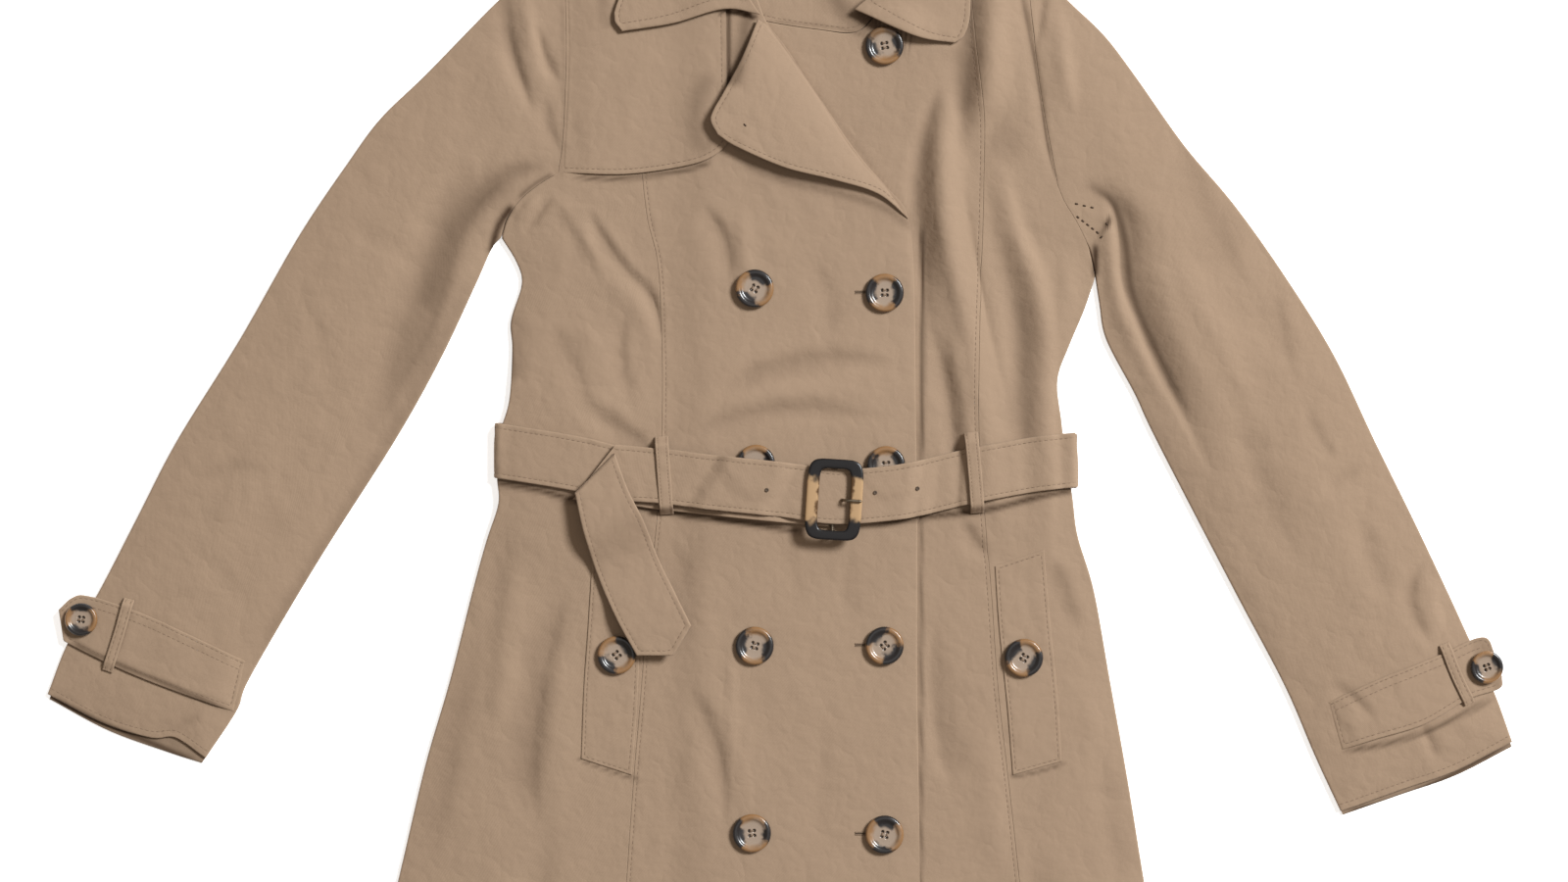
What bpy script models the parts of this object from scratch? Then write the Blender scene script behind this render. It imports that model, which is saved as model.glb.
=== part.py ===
"""Double-breasted trench coat, buttoned and belted, laid flat on its back.

Tables give places in millimetres in the coat's own frame: x towards the
wearer's left sleeve, y towards the collar, z up from the surface it lies on.
Each cloth piece is a sheet between four edge curves. Its underside follows
the height of what it lies on, and a Solidify modifier gives it its wall.
"""
import math

import bmesh
import bpy
import numpy as np
from mathutils import Matrix

COLLECTION = "trench_coat"
CUTTERS = "trench_coat_cutters"
MM = 0.001
# moves the tables' frame so that the coat's box is centred on the origin
FRAME_SHIFT_X = 0.5
FRAME_SHIFT_Y = -2.65

# walls: lined panels, trim, the belt and its loops
PANEL = 1.8
TRIM = 1.4
BELT = 2.4
LOOP = 1.2
# gap between the two layers of the belt
BELT_GAP = 1.3
# gap under the belt, which bridges small folds
BELT_LAY = 0.9
# how far the belt stays level across its width where the cloth below dips
BELT_STIFFNESS = 0.7
# gaps: along a seam, under a piece that lies on another, front to back at the edge
SEAM_GAP = 0.9
LAY_GAP = 0.7
EDGE_GAP = 0.35
# what the over front stands on: the under front and the gap between them
STACK = PANEL + 1.1

# the front stands this far off the back, and reaches that height this far from the outline
PUFF = 3.2
PUFF_REACH = 26.0

# the back panel rises over the hidden half of the belt
BELT_WIDTH = 40.0
WAIST_Y = 39
RISE = BELT + EDGE_GAP
RISE_FLAT = 25.0
RISE_SLOPE = 14.0

BUST_Y = 169
HEM_Y = -454

# the lapel stands off the chest by this much, reached this far from its roll line
LAPEL_LIFT = 4.6
LAPEL_REACH = 22.0
# left of this line the collar lies on the gun flap
COLLAR_MIDDLE_X = 17
# the collar's rise off the shoulders ends between these distances past them
COLLAR_EASE = (4.0, 10.0)
# share of a sleeve's length below the armpit
ARMPIT_SHARE = 0.8
# the over front starts and ends its step onto the under front this far right of its hidden edge
OVER_STEP = (-40.0, -6.0)
# a piece that crosses the front edge comes down from it between these distances past it
FRONT_BRIDGE = (1.0, 15.0)

BUTTON_RADIUS = 14.0
CUFF_BUTTON_RADIUS = 12.0
BUTTON_HEIGHT = 4.2
BUTTON_STEPS = 14
# cloth over a button is level this far past it, then slopes down over this length
RISE_MARGIN = 3.0
DISC_SLOPE = 12.0
# room between a button and the cloth that covers it: belt, collar
BELT_ROOM = 0.3
COLLAR_ROOM = 1.2
# points round a button's underside at which it is seated
BUTTON_FEET = 12

# buckle: outer and inner size, thickness and how far it is turned
BUCKLE_SIZE = (41.0, 59.0)
BUCKLE_OPENING = (23.0, 45.0)
BUCKLE_THICK = 3.4
BUCKLE_CORNER = 6.0
BUCKLE_TURN = math.radians(-3.6)
BUCKLE_CENTRE = (39, 7)
# its underside stands this far off the highest front beneath it, over both layers of the belt
BUCKLE_REST = 8.2
BUCKLE_SOFT = 1.1
OPENING_CORNER = 2.5
BAR_RADIUS = 1.3
BAR_INSET = 0.4
BAR_BEND = 0.85
PRONG_RADIUS = 1.1
EYELET_RADIUS = 2.1
EYELET_X = 5.8
PUNCH_DEPTH = 20.0
PRONG_END_X = BUCKLE_SIZE[0] / 2 - 1.5
# past the buckle the free end comes down onto the front between these distances
FREE_DROP = (19.0, 40.0)

# ---------------------------------------------------------------- edge tables
# A row is a point (x, y) that a smooth edge passes through.
# Each armhole runs from the armpit up to a corner, then along the sleeve head to the shoulder.
ARMPIT_RIGHT = ((-205, 199), (-200, 214), (-189, 228), (-175, 239), (-163, 246))
HEAD_RIGHT = ((-163, 246), (-160, 266), (-158, 302), (-157, 345), (-159, 407))
SIDE_RIGHT = ((-205, 199), (-194, 181), (-190, 165), (-198, 138), (-197, 117), (-199, 80),
              (-206, 54), (-208, 24), (-207, 4), (-216, -24), (-226, -60), (-243, -127),
              (-261, -189), (-281, -274), (-304, -368), (-323, -454))
ARMPIT_LEFT = ((231, 170), (226, 191), (217, 210), (208, 225), (203, 237))
HEAD_LEFT = ((203, 237), (198, 266), (192, 302), (187, 338), (183, 370), (180, 405))
HEAD_STEPS = 7
SIDE_LEFT = ((231, 170), (223, 146), (212, 120), (203, 94), (206, 64), (209, 39),
             (214, 9), (218, -20), (230, -60), (242, -127), (255, -200), (267, -274),
             (283, -368), (296, -454))
SHOULDERS = ((-159, 407), (-37, 440), (-12, 432), (28, 428), (67, 432), (93, 440), (180, 405))
SEAM_RIGHT = ((-105, 421), (-105, 330), (-103, 266), (-98, 215), (-90, 179), (-87, 122), (-87, 57),
              (-90, -1), (-97, -66), (-102, -130), (-108, -202), (-113, -274), (-120, -368), (-127, -454))
SEAM_LEFT = ((136, 423), (143, 352), (149, 287), (148, 208), (145, 129), (145, 57),
             (149, -1), (154, -58), (159, -130), (167, -202), (175, -274), (185, -368),
             (194, -454))
FRONT_EDGE = ((102, -454), (102, -274), (100, -130), (100, -8), (99, 57), (98, 158), (93, 214))
ROLL_LINE = ((93, 214), (78, 235), (62, 253), (47, 273), (33, 294), (18, 316), (3, 339),
             (-10, 356))
OVER_NECK = ((-10, 356), (-18, 377), (-28, 410), (-37, 440))
UNDER_EDGE_X = -43
UNDER_TOP = ((-43, 365), (-5, 356), (28, 351), (54, 349), (69, 361), (78, 379), (85, 404),
             (93, 440), (114, 431), (136, 423))
# shares of the back's width with a column, besides those at the neck
BACK_COLUMNS = (0.12, 0.24, 0.81, 0.9)
# share of the under front's width at each of its columns
UNDER_COLUMNS = (0.0, 0.14, 0.28, 0.42, 0.53, 0.6, 0.65, 0.7, 0.78, 0.88, 1.0)

SLEEVE_RIGHT_OUTER = ((-538, -136), (-523, -98), (-501, -62), (-473, -8), (-443, 50), (-397, 124),
                      (-353, 201), (-316, 256), (-293, 287), (-261, 318), (-224, 356), (-206, 374),
                      (-181, 397), (-159, 407))
SLEEVE_RIGHT_INNER = ((-422, -183), (-399, -148), (-389, -123), (-339, -38), (-283, 50), (-250, 109),
                      (-224, 164), (-212, 191), (-205, 199))
CUFF_RIGHT = ((-538, -136), (-498, -157), (-462, -168), (-444, -168), (-422, -183))
CUFF_RIGHT_UNDER = ((-537, -140), (-494, -163), (-450, -179), (-425, -187))
SLEEVE_LEFT_OUTER = ((537, -171), (524, -135), (507, -99), (491, -64), (465, -9), (436, 50),
                     (406, 113), (370, 171), (333, 223), (296, 267), (260, 318), (237, 348),
                     (210, 374), (194, 394), (180, 405))
SLEEVE_LEFT_INNER = ((411, -222), (392, -181), (370, -130), (333, -60), (276, 50), (260, 84),
                     (239, 124), (234, 150), (231, 170))
CUFF_LEFT = ((537, -171), (496, -192), (456, -206), (411, -222))
CUFF_LEFT_UNDER = ((537, -175), (496, -196), (456, -210), (413, -225))

FLAP_LEFT = ((-160, 246), (-159, 266), (-157, 302), (-156, 345), (-158, 405))
FLAP_RIGHT = ((-37, 269), (-39, 305), (-40, 365), (-40, 436))
FLAP_BOTTOM = ((-160, 246), (-113, 245), (-69, 251), (-49, 258), (-37, 269))
FLAP_TOP = ((-158, 405), (-40, 436))

LAPEL_OUTER = ((-46, 273), (-51, 283), (-49, 291), (-41, 305), (-28, 330), (-17, 358))
LAPEL_ROLL = ((93, 212), (77, 235), (61, 252), (46, 272), (32, 294), (18, 315), (2, 338),
              (-10, 354))
LAPEL_TOP = ((-17, 358), (-10, 354))
LAPEL_BOTTOM = ((-46, 273), (-32, 264), (3, 249), (39, 240), (71, 230), (93, 212))

# collar, rows (x, y, z): the fold it turns over, its free edge and its two front ends
COLLAR_FOLD = ((-15, 361, 14.5), (-28, 384, 17), (-31, 413, 21), (-13, 440, 25), (28, 450, 27),
               (69, 441, 25), (86, 415, 21), (78, 388, 17), (54, 365, 14.5))
COLLAR_EDGE = ((-116, 349, 12), (-122, 359, 12), (-118, 374, 11), (-105, 405, 10), (-71, 437, 6),
               (-25, 454, 1.5), (28, 458, 0.8), (80, 454, 1.5), (119, 436, 6), (138, 405, 8),
               (139, 374, 9), (136, 356, 9), (127, 341, 9))
COLLAR_END_RIGHT = ((-15, 361, 14.5), (-41, 365, 13), (-78, 355, 12), (-116, 349, 12))
COLLAR_END_LEFT = ((54, 365, 14.5), (82, 352, 12), (103, 344, 10), (127, 341, 9))
STAND_TOP = ((-26, 385, 16.4), (-29, 413, 20.4), (-12, 438, 24.3), (28, 448, 26.3),
             (67, 439, 24.3), (84, 414, 20.4), (76, 388, 16.4))
STAND_BASE = ((-18, 384, 10.5), (-22, 405, 8.8), (-9, 423, 4), (28, 426, 2.3), (64, 423, 4),
              (80, 404, 6), (73, 382, 7.5))
BAND_BOTTOM = ((-23, 363), (-5, 358), (28, 353), (54, 351), (66, 361))
BAND_TOP = ((-19, 384), (3, 379), (28, 378), (51, 379), (75, 380))

STRAP_RIGHT_TOP = ((-529, -74), (-519, -65), (-507, -64), (-469, -76), (-429, -94), (-392, -112))
STRAP_RIGHT_BOTTOM = ((-526, -96), (-522, -99), (-491, -114), (-458, -128), (-401, -149))
STRAP_LEFT_TOP = ((401, -142), (435, -126), (460, -116), (485, -106), (515, -94), (524, -107))
STRAP_LEFT_BOTTOM = ((411, -177), (435, -169), (471, -158), (503, -140), (527, -132), (529, -123))

WELT_RIGHT_OUTER = ((-146, -183), (-144, -130), (-141, -87), (-138, -37))
WELT_RIGHT_INNER = ((-109, -195), (-105, -145), (-103, -94), (-101, -48))
WELT_LEFT_INNER = ((170, -195), (166, -145), (160, -87), (157, -42))
WELT_LEFT_OUTER = ((206, -185), (203, -138), (198, -87), (193, -30))

# belt: centre lines (x, y) from the wearer's left to right, and the hanging tail's two edges
BELT_FREE = ((217, 36), (183, 32), (139, 24), (100, 15), (75, 11), (39, 9), (3, 14),
             (-55, 20), (-87, 24), (-136, 27))
BELT_BUCKLE_END = ((37, 7), (3, 10), (-55, 16), (-105, 22), (-149, 33), (-210, 43))
FREE_STEPS = 38
# its last steps slant towards the fold
SLANT_STEPS = 5
BELT_BACK = ((217, 35), (3, 39), (-210, 43))
TAIL_LEFT = ((-105, -107), (-120, -80), (-133, -51), (-143, -19), (-150, 12))
TAIL_RIGHT = ((-65, -85), (-77, -61), (-89, -37), (-100, -8), (-111, 14), (-121, 41))
TAIL_TIP = ((-105, -107), (-78, -107), (-65, -85))
FOLD_SLANT = -121 - -150
# the tail's height over the front at shares of its length from the tip
TAIL_SHARES = (0.0, 0.2, 0.36, 0.52, 0.7, 0.86, 1.0)
TAIL_HEIGHTS = (8.0, 8.0, 3.4, 3.4, 10.6, 9.6, 8.6)

# loops, rows (x, y) of the centre line
BELT_LOOP_RIGHT = ((-87, 53), (-85, 24), (-83, -6))
BELT_LOOP_LEFT = ((139, 56), (142, 24), (144, -5))
CUFF_LOOP_RIGHT = ((-476, -63), (-484, -91), (-494, -123))
CUFF_LOOP_LEFT = ((485, -96), (495, -122), (507, -148))
BELT_LOOP_WIDTH = 10.0
# share of a loop at each end that rises from its base
LOOP_FOOT = 0.1
CUFF_LOOP_WIDTH = 8.0

# folds: a ridge (+) or trough (-) along three points, with its height and half width
FOLDS = (
    # wearer's right side and centre
    ((-141, 222), (-113, 172), (-90, 113), 4.0, 9.0),
    ((-170, 233), (-152, 207), (-137, 178), 3.0, 8.0),
    ((-144, 87), (-121, 71), (-101, 53), 2.6, 8.0),
    ((-185, 158), (-186, 122), (-192, 78), 2.4, 9.0),
    ((-69, 97), (3, 113), (93, 90), 1.6, 12.0),
    ((-177, -87), (-163, -145), (-166, -246), 3.4, 14.0),
    ((-69, -30), (-58, -145), (-61, -274), 1.8, 16.0),
    ((-199, -246), (-210, -332), (-228, -447), 4.0, 20.0),
    ((-69, -303), (-77, -375), (-84, -451), 3.0, 22.0),
    # wearer's left front
    ((111, 284), (108, 204), (111, 64), -1.8, 8.0),
    ((121, 302), (118, 172), (129, 58), 4.2, 12.0),
    ((155, 280), (161, 172), (165, 64), 3.6, 13.0),
    ((175, 201), (186, 129), (190, 57), -2.4, 11.0),
    ((213, 179), (203, 122), (200, 64), 2.2, 12.0),
    ((139, 368), (154, 330), (162, 287), 3.0, 12.0),
    ((191, -19), (208, -51), (219, -87), 2.4, 9.0),
    ((226, -116), (236, -188), (247, -274), 2.6, 14.0),
    ((211, -260), (226, -346), (240, -447), 4.0, 20.0),
    ((136, -274), (143, -361), (147, -451), 3.2, 22.0),
    # sleeve of the wearer's right arm
    ((-188, 388), (-181, 338), (-173, 289), 3.0, 9.0),
    ((-213, 345), (-205, 309), (-192, 266), 2.2, 12.0),
    ((-246, 266), (-300, 172), (-357, 64), 2.8, 20.0),
    ((-357, 86), (-401, 14), (-444, -66), 2.4, 18.0),
    ((-228, 201), (-264, 136), (-303, 64), -2.0, 12.0),
    # sleeve of the wearer's left arm
    ((193, 388), (200, 338), (208, 280), 2.6, 10.0),
    ((216, 237), (246, 221), (259, 172), -2.4, 10.0),
    ((219, 330), (262, 237), (301, 158), 2.6, 18.0),
    ((270, 194), (298, 107), (352, -8), 3.0, 18.0),
    ((363, 86), (399, -1), (435, -87), 2.4, 18.0),
    ((460, -58), (471, -87), (473, -113), 3.4, 8.0),
)

# buttons, rows: name, (x, y)
FRONT_BUTTONS = (
    ("button_top_left", (76, 339)),
    ("button_chest_right", (-19, 161)),
    ("button_chest_left", (76, 158)),
    ("button_waist_right", (-18, 33)),
    ("button_waist_left", (77, 32)),
    ("button_hip_right", (-19, -100)),
    ("button_hip_left", (76, -100)),
    ("button_skirt_right", (-21, -237)),
    ("button_skirt_left", (76, -238)),
)
POCKET_BUTTONS = (("button_pocket_right", (-120, -107)), ("button_pocket_left", (178, -109)))
CUFF_BUTTONS = (("button_cuff_right", (-512, -81)), ("button_cuff_left", (517, -116)))

# colours (r, g, b, a), linear
TWILL = (0.43, 0.31, 0.21, 1.0)
TWILL_SHADE = (0.36, 0.26, 0.18, 1.0)
HORN = (0.09, 0.055, 0.03, 1.0)
METAL = (0.45, 0.40, 0.33, 1.0)


# ---------------------------------------------------------------- curves
def smooth(points):
    """Dense Catmull-Rom curve through the points."""
    knots = np.asarray(points, float)
    knots = np.vstack([2 * knots[0] - knots[1], knots, 2 * knots[-1] - knots[-2]])
    t = np.linspace(0, 1, 12, endpoint=False)[:, None]
    spans = []
    for a, b, c, d in zip(knots, knots[1:], knots[2:], knots[3:]):
        spans.append(0.5 * (2 * b + (c - a) * t + (2 * a - 5 * b + 4 * c - d) * t**2
                            + (3 * b - a - 3 * c + d) * t**3))
    return np.vstack(spans + [knots[-2:-1]])


def resample(dense, shares):
    """Points of a polyline at shares of its length."""
    steps = np.linalg.norm(np.diff(dense, axis=0), axis=1)
    length = np.concatenate([[0.0], np.cumsum(steps)])
    at = np.asarray(shares) * length[-1]
    return np.column_stack([np.interp(at, length, column) for column in dense.T])


def along(points, shares):
    """Points of the smooth curve at shares of its length."""
    return resample(smooth(points), shares)


def across_at(points, y):
    """x of a smooth edge at height y, for an edge that crosses each y once."""
    dense = smooth(points)
    dense = dense[np.argsort(dense[:, 1])]
    return np.interp(y, dense[:, 1], dense[:, 0])


def height_at(points, x):
    """y of a smooth edge at x, for an edge that crosses each x once."""
    dense = smooth(points)
    dense = dense[np.argsort(dense[:, 0])]
    return np.interp(x, dense[:, 0], dense[:, 1])


def beside(line, distance):
    """A polyline moved sideways, to the left of its direction."""
    way = np.gradient(line, axis=0)
    way /= np.linalg.norm(way, axis=1)[:, None]
    return line + distance * np.column_stack([-way[:, 1], way[:, 0]])


def even(count):
    """Even shares from 0 to 1."""
    return np.linspace(0.0, 1.0, count)


def coons(bottom, top, left, right, shares_u=None, shares_v=None):
    """Grid between four edges: bottom and top run left to right, the others run upwards."""
    u = (even(len(bottom)) if shares_u is None else np.asarray(shares_u))[None, :, None]
    v = (even(len(left)) if shares_v is None else np.asarray(shares_v))[:, None, None]
    corners = ((1 - u) * (1 - v) * bottom[0] + u * (1 - v) * bottom[-1]
               + (1 - u) * v * top[0] + u * v * top[-1])
    return ((1 - v) * bottom[None] + v * top[None] + (1 - u) * left[:, None] + u * right[:, None]
            - corners)


# ---------------------------------------------------------------- heights
def ramp(value, start, end):
    """0 before start, 1 past end, straight between."""
    return np.clip((value - start) / (end - start), 0.0, 1.0)


def line_distance(x, y, line):
    """Distance to a polyline, and the share of it at the nearest point."""
    start = line[:-1]
    way = line[1:] - start
    px = np.asarray(x)[..., None] - start[:, 0]
    py = np.asarray(y)[..., None] - start[:, 1]
    share = np.clip((px * way[:, 0] + py * way[:, 1]) / np.sum(way**2, axis=1), 0.0, 1.0)
    gap = np.hypot(px - share * way[:, 0], py - share * way[:, 1])
    nearest = np.argmin(gap, axis=-1)
    pick = nearest[..., None]
    at = np.take_along_axis(share, pick, -1)[..., 0]
    return np.take_along_axis(gap, pick, -1)[..., 0], (nearest + at) / len(start)


OUTLINE = [smooth(edge)[::3] for edge in (
    SIDE_RIGHT, SIDE_LEFT, SHOULDERS, SLEEVE_RIGHT_OUTER, SLEEVE_RIGHT_INNER, CUFF_RIGHT,
    SLEEVE_LEFT_OUTER, SLEEVE_LEFT_INNER, CUFF_LEFT, (SIDE_RIGHT[-1], (0, HEM_Y), SIDE_LEFT[-1]))]
FOLD_LINES = [smooth(row[:3])[::4] for row in FOLDS]


def outline_distance(x, y):
    """Distance to the nearest edge of the whole coat."""
    return np.min([line_distance(x, y, edge)[0] for edge in OUTLINE], axis=0)


def fold_height(x, y):
    """Sum of the folds, each fading out along its length and to its sides."""
    total = np.zeros(np.shape(x))
    for line, (_, _, _, height, width) in zip(FOLD_LINES, FOLDS):
        gap, share = line_distance(x, y, line)
        total += height * np.exp(-(gap / width)**2) * np.sqrt(np.sin(np.pi * np.clip(share, 0, 1)))
    return total


def belt_rise(y):
    """How far the back panel stands off the ground over the belt."""
    return RISE * (1 - ramp(np.abs(y - WAIST_Y), RISE_FLAT, RISE_FLAT + RISE_SLOPE))


def back_low(x, y):
    """Underside of the back panel."""
    return belt_rise(y) + 0 * x


def body_low(x, y):
    """Underside of the front layer that lies on the back."""
    near = 1 - np.exp(-outline_distance(x, y) / PUFF_REACH)
    lift = np.maximum(PUFF * near + fold_height(x, y) * near, 0.0)
    return PANEL + EDGE_GAP + belt_rise(y) + lift


def sleeve_low(x, y):
    """Underside of a sleeve's upper panel, on its under panel."""
    near = 1 - np.exp(-outline_distance(x, y) / PUFF_REACH)
    lift = np.maximum(PUFF * near + fold_height(x, y) * near, 0.0)
    return PANEL + EDGE_GAP + lift


def over_step(x):
    """1 where the over front lies on the under front, 0 beside its hidden edge."""
    share = ramp(x, UNDER_EDGE_X + OVER_STEP[0], UNDER_EDGE_X + OVER_STEP[1])
    return share**2 * (3 - 2 * share)


def over_low(x, y):
    """Underside of the over front."""
    return body_low(x, y) + STACK * over_step(x)


def front_top(x, y):
    """Top of the front as a piece that crosses it meets it, bridging the front edge."""
    edge = across_at(FRONT_EDGE, y)
    on_over = over_step(x) * (1 - ramp(x, edge + FRONT_BRIDGE[0], edge + FRONT_BRIDGE[1]))
    return body_low(x, y) + PANEL + STACK * on_over


def over_disc(x, y, centre, radius, height):
    """A round rise that clears a button."""
    gap = np.hypot(x - centre[0], y - centre[1])
    return height * (1 - ramp(gap, radius + RISE_MARGIN, radius + RISE_MARGIN + DISC_SLOPE))


# ---------------------------------------------------------------- making
def collection(name):
    """A new collection in the scene."""
    made = bpy.data.collections.new(name)
    bpy.context.scene.collection.children.link(made)
    return made


def principled(name, colour, roughness, metallic=0.0):
    """Material with one Principled BSDF."""
    material = bpy.data.materials.new(name)
    material.use_nodes = True
    shader = material.node_tree.nodes["Principled BSDF"]
    shader.inputs["Base Color"].default_value = colour
    shader.inputs["Roughness"].default_value = roughness
    shader.inputs["Metallic"].default_value = metallic
    return material


def add_object(name, mesh, colour, roughness=0.85, metallic=0.0):
    """Object for a finished mesh, with its own material, in the coat's collection."""
    mesh.shade_smooth()
    mesh.set_sharp_from_angle(angle=math.radians(40))
    made = bpy.data.objects.new(name, mesh)
    made.data.materials.append(principled(name, colour, roughness, metallic))
    parts.objects.link(made)
    return made


def sheet(name, points, wall, colour=TWILL):
    """Open grid surface through rows x columns of (x, y, z), given its wall by Solidify."""
    rows, columns = points.shape[:2]
    surface = bmesh.new()
    bmesh.ops.create_grid(surface, x_segments=columns - 1, y_segments=rows - 1, size=1.0)
    shift = np.array([FRAME_SHIFT_X, FRAME_SHIFT_Y, 0.0])
    for vertex, place in zip(surface.verts, (points.reshape(-1, 3) + shift) * MM):
        vertex.co = place
    surface.normal_update()
    if sum(face.normal.z * face.calc_area() for face in surface.faces) < 0:
        bmesh.ops.reverse_faces(surface, faces=surface.faces[:])
    mesh = bpy.data.meshes.new(name)
    surface.to_mesh(mesh)
    surface.free()
    made = add_object(name, mesh, colour)
    solid = made.modifiers.new("wall", "SOLIDIFY")
    solid.thickness = wall * MM
    solid.offset = 1.0
    return made


def lay(plan, underside):
    """Grid of (x, y) raised to an underside function of x and y."""
    x, y = plan[..., 0], plan[..., 1]
    return np.dstack([x, y, underside(x, y)])


def lay_stiff(plan, underside):
    """As lay, with each station across the belt drawn up towards its highest point."""
    raised = lay(plan, underside)
    across = raised[..., 2].max(axis=0)[None]
    raised[..., 2] += BELT_STIFFNESS * (across - raised[..., 2])
    return raised


def body_plan(left, right, top, columns, row_levels, rising):
    """Rows at fixed y up to the bust, then fanning to the top edge.

    left and right give x on each side at a height y; `rising` holds the
    shares of the way from bust to top that the left and right ends rise by.
    """
    columns = np.asarray(columns)
    bust = row_levels[-1]
    top_x = top[0][0] + (top[-1][0] - top[0][0]) * columns
    top_y = height_at(top, top_x)
    levels = [np.full(len(columns), level) for level in row_levels]
    for at_left, at_right in zip(*rising):
        share = at_left + (at_right - at_left) * columns
        levels.append(bust + share * (top_y - bust))
    y = np.array(levels)
    x_left = left(y[:, 0])[:, None]
    x_right = right(y[:, -1])[:, None]
    return np.dstack([x_left + (x_right - x_left) * columns, y])


def edge_of(points):
    """x of a smooth edge as a function of y."""
    return lambda y: across_at(points, y)


def side_of(side, knots):
    """x of the body's side: its smooth edge below the armpit, straight between knots above."""
    above = knots[np.argsort(knots[:, 1])]

    def edge(y):
        return np.where(y < above[0, 1], across_at(side, y), np.interp(y, above[:, 1], above[:, 0]))
    return edge


def rising_shares(knots):
    """Shares of the way from the bust to the shoulder at which an armhole's knots lie."""
    y = knots[knots[:, 1] > BUST_Y + 1.0][:, 1]
    return (y - BUST_Y) / (knots[-1, 1] - BUST_Y)


def strip(centre, width, count, across=4):
    """Grid along a centre line: `count` steps long, `across` steps wide."""
    line = along(centre, even(count + 1))
    way = np.gradient(line, axis=0)
    way /= np.linalg.norm(way, axis=1)[:, None]
    side = np.column_stack([-way[:, 1], way[:, 0]])
    offsets = (even(across + 1) - 0.5) * width
    return line[None] + offsets[:, None, None] * side[None]


def armhole_knots(armpit, head):
    """Points of an armhole that the body's rows and the sleeve's columns both use."""
    return np.vstack([np.array(armpit)[:-1], along(head, even(HEAD_STEPS + 1))])


KNOTS = {"right": armhole_knots(ARMPIT_RIGHT, HEAD_RIGHT),
         "left": armhole_knots(ARMPIT_LEFT, HEAD_LEFT)}

# rows of the body panels: closer where the back rises over the belt
WAIST_ROWS = tuple(WAIST_Y + offset for offset in (
    -RISE_FLAT - RISE_SLOPE, -RISE_FLAT, -8.0, 8.0, RISE_FLAT, RISE_FLAT + RISE_SLOPE))


def body_rows(below, between):
    """y of each row: from the hem to the belt, over it, and up to the bust."""
    lower = np.linspace(HEM_Y, WAIST_ROWS[0], below + 1)[:-1]
    upper = np.linspace(WAIST_ROWS[-1], BUST_Y, between + 1)[1:]
    return np.concatenate([lower, WAIST_ROWS, upper])


def make_body():
    """Back panel, and the four front panels on it."""
    knots_right, knots_left = KNOTS["right"], KNOTS["left"]
    side_right, side_left = side_of(SIDE_RIGHT, knots_right), side_of(SIDE_LEFT, knots_left)
    rise_right, rise_left = rising_shares(knots_right), rising_shares(knots_left)
    rise_left = np.concatenate([[rise_left[0] / 2], rise_left])
    span = SHOULDERS[-1][0] - SHOULDERS[0][0]
    neck = [(point[0] - SHOULDERS[0][0]) / span for point in SHOULDERS]
    back_columns = sorted(neck + list(BACK_COLUMNS))
    sheet("back_panel", lay(body_plan(side_right, side_left, SHOULDERS, back_columns,
                                      body_rows(6, 3), (rise_right, rise_left)), back_low),
          PANEL, TWILL_SHADE)

    rows = body_rows(10, 6)
    half = SEAM_GAP / 2
    seam = shifted(SEAM_RIGHT[::-1], -half)
    top = (SHOULDERS[0], seam[-1])
    sheet("front_over_side", lay(body_plan(side_right, edge_of(seam), top, even(9), rows,
                                           (rise_right, rise_right)), over_low), PANEL)
    seam = shifted(SEAM_RIGHT[::-1], half)
    over_edge = FRONT_EDGE + ROLL_LINE[1:] + OVER_NECK[1:]
    top = (seam[-1], OVER_NECK[-1])
    sheet("front_over", lay(body_plan(edge_of(seam), edge_of(over_edge), top, even(11), rows,
                                      (rise_right, rise_right)), over_low), PANEL)
    seam = shifted(SEAM_LEFT[::-1], -half)
    under_edge = ((UNDER_EDGE_X, HEM_Y), UNDER_TOP[0])
    top = UNDER_TOP[:-1] + (seam[-1],)
    sheet("front_under", lay(body_plan(edge_of(under_edge), edge_of(seam), top, UNDER_COLUMNS, rows,
                                       (rise_left, rise_left)), body_low), PANEL)
    seam = shifted(SEAM_LEFT[::-1], half)
    top = (seam[-1], SHOULDERS[-1])
    sheet("front_under_side", lay(body_plan(edge_of(seam), side_left, top, even(9), rows,
                                            (rise_left, rise_left)), body_low), PANEL)


def shifted(points, distance):
    """The points moved along x."""
    return tuple((x + distance, y) for x, y in points)


def make_sleeve(side, outer, inner, cuff, cuff_under, gap):
    """Upper and under panel of one sleeve, from its cuff to the armhole."""
    armhole = beside(KNOTS[side], gap)
    corner = len(armhole) - 1 - HEAD_STEPS
    head = armhole[corner:][::-1]
    for part, hem, lengths, low in (("under", cuff_under, 8, lambda x, y: 0 * x),
                                    ("top", cuff, 18, sleeve_low)):
        bottom = along(hem, even(HEAD_STEPS + 1))
        right = np.vstack([along(inner, even(lengths + 1))[:-1], armhole[:corner + 1]])
        v = np.concatenate([np.linspace(0, ARMPIT_SHARE, lengths + 1)[:-1],
                            np.linspace(ARMPIT_SHARE, 1, corner + 1)])
        left = along(outer, v)
        left += (1 - v)[:, None] * (bottom[0] - left[0]) + v[:, None] * (head[0] - left[-1])
        right[:lengths] += (1 - v[:lengths, None] / ARMPIT_SHARE) * (bottom[-1] - right[0])
        colour = TWILL if part == "top" else TWILL_SHADE
        sheet(f"sleeve_{part}_{side}", lay(coons(bottom, head, left, right, None, v), low), PANEL,
              colour)


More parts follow.
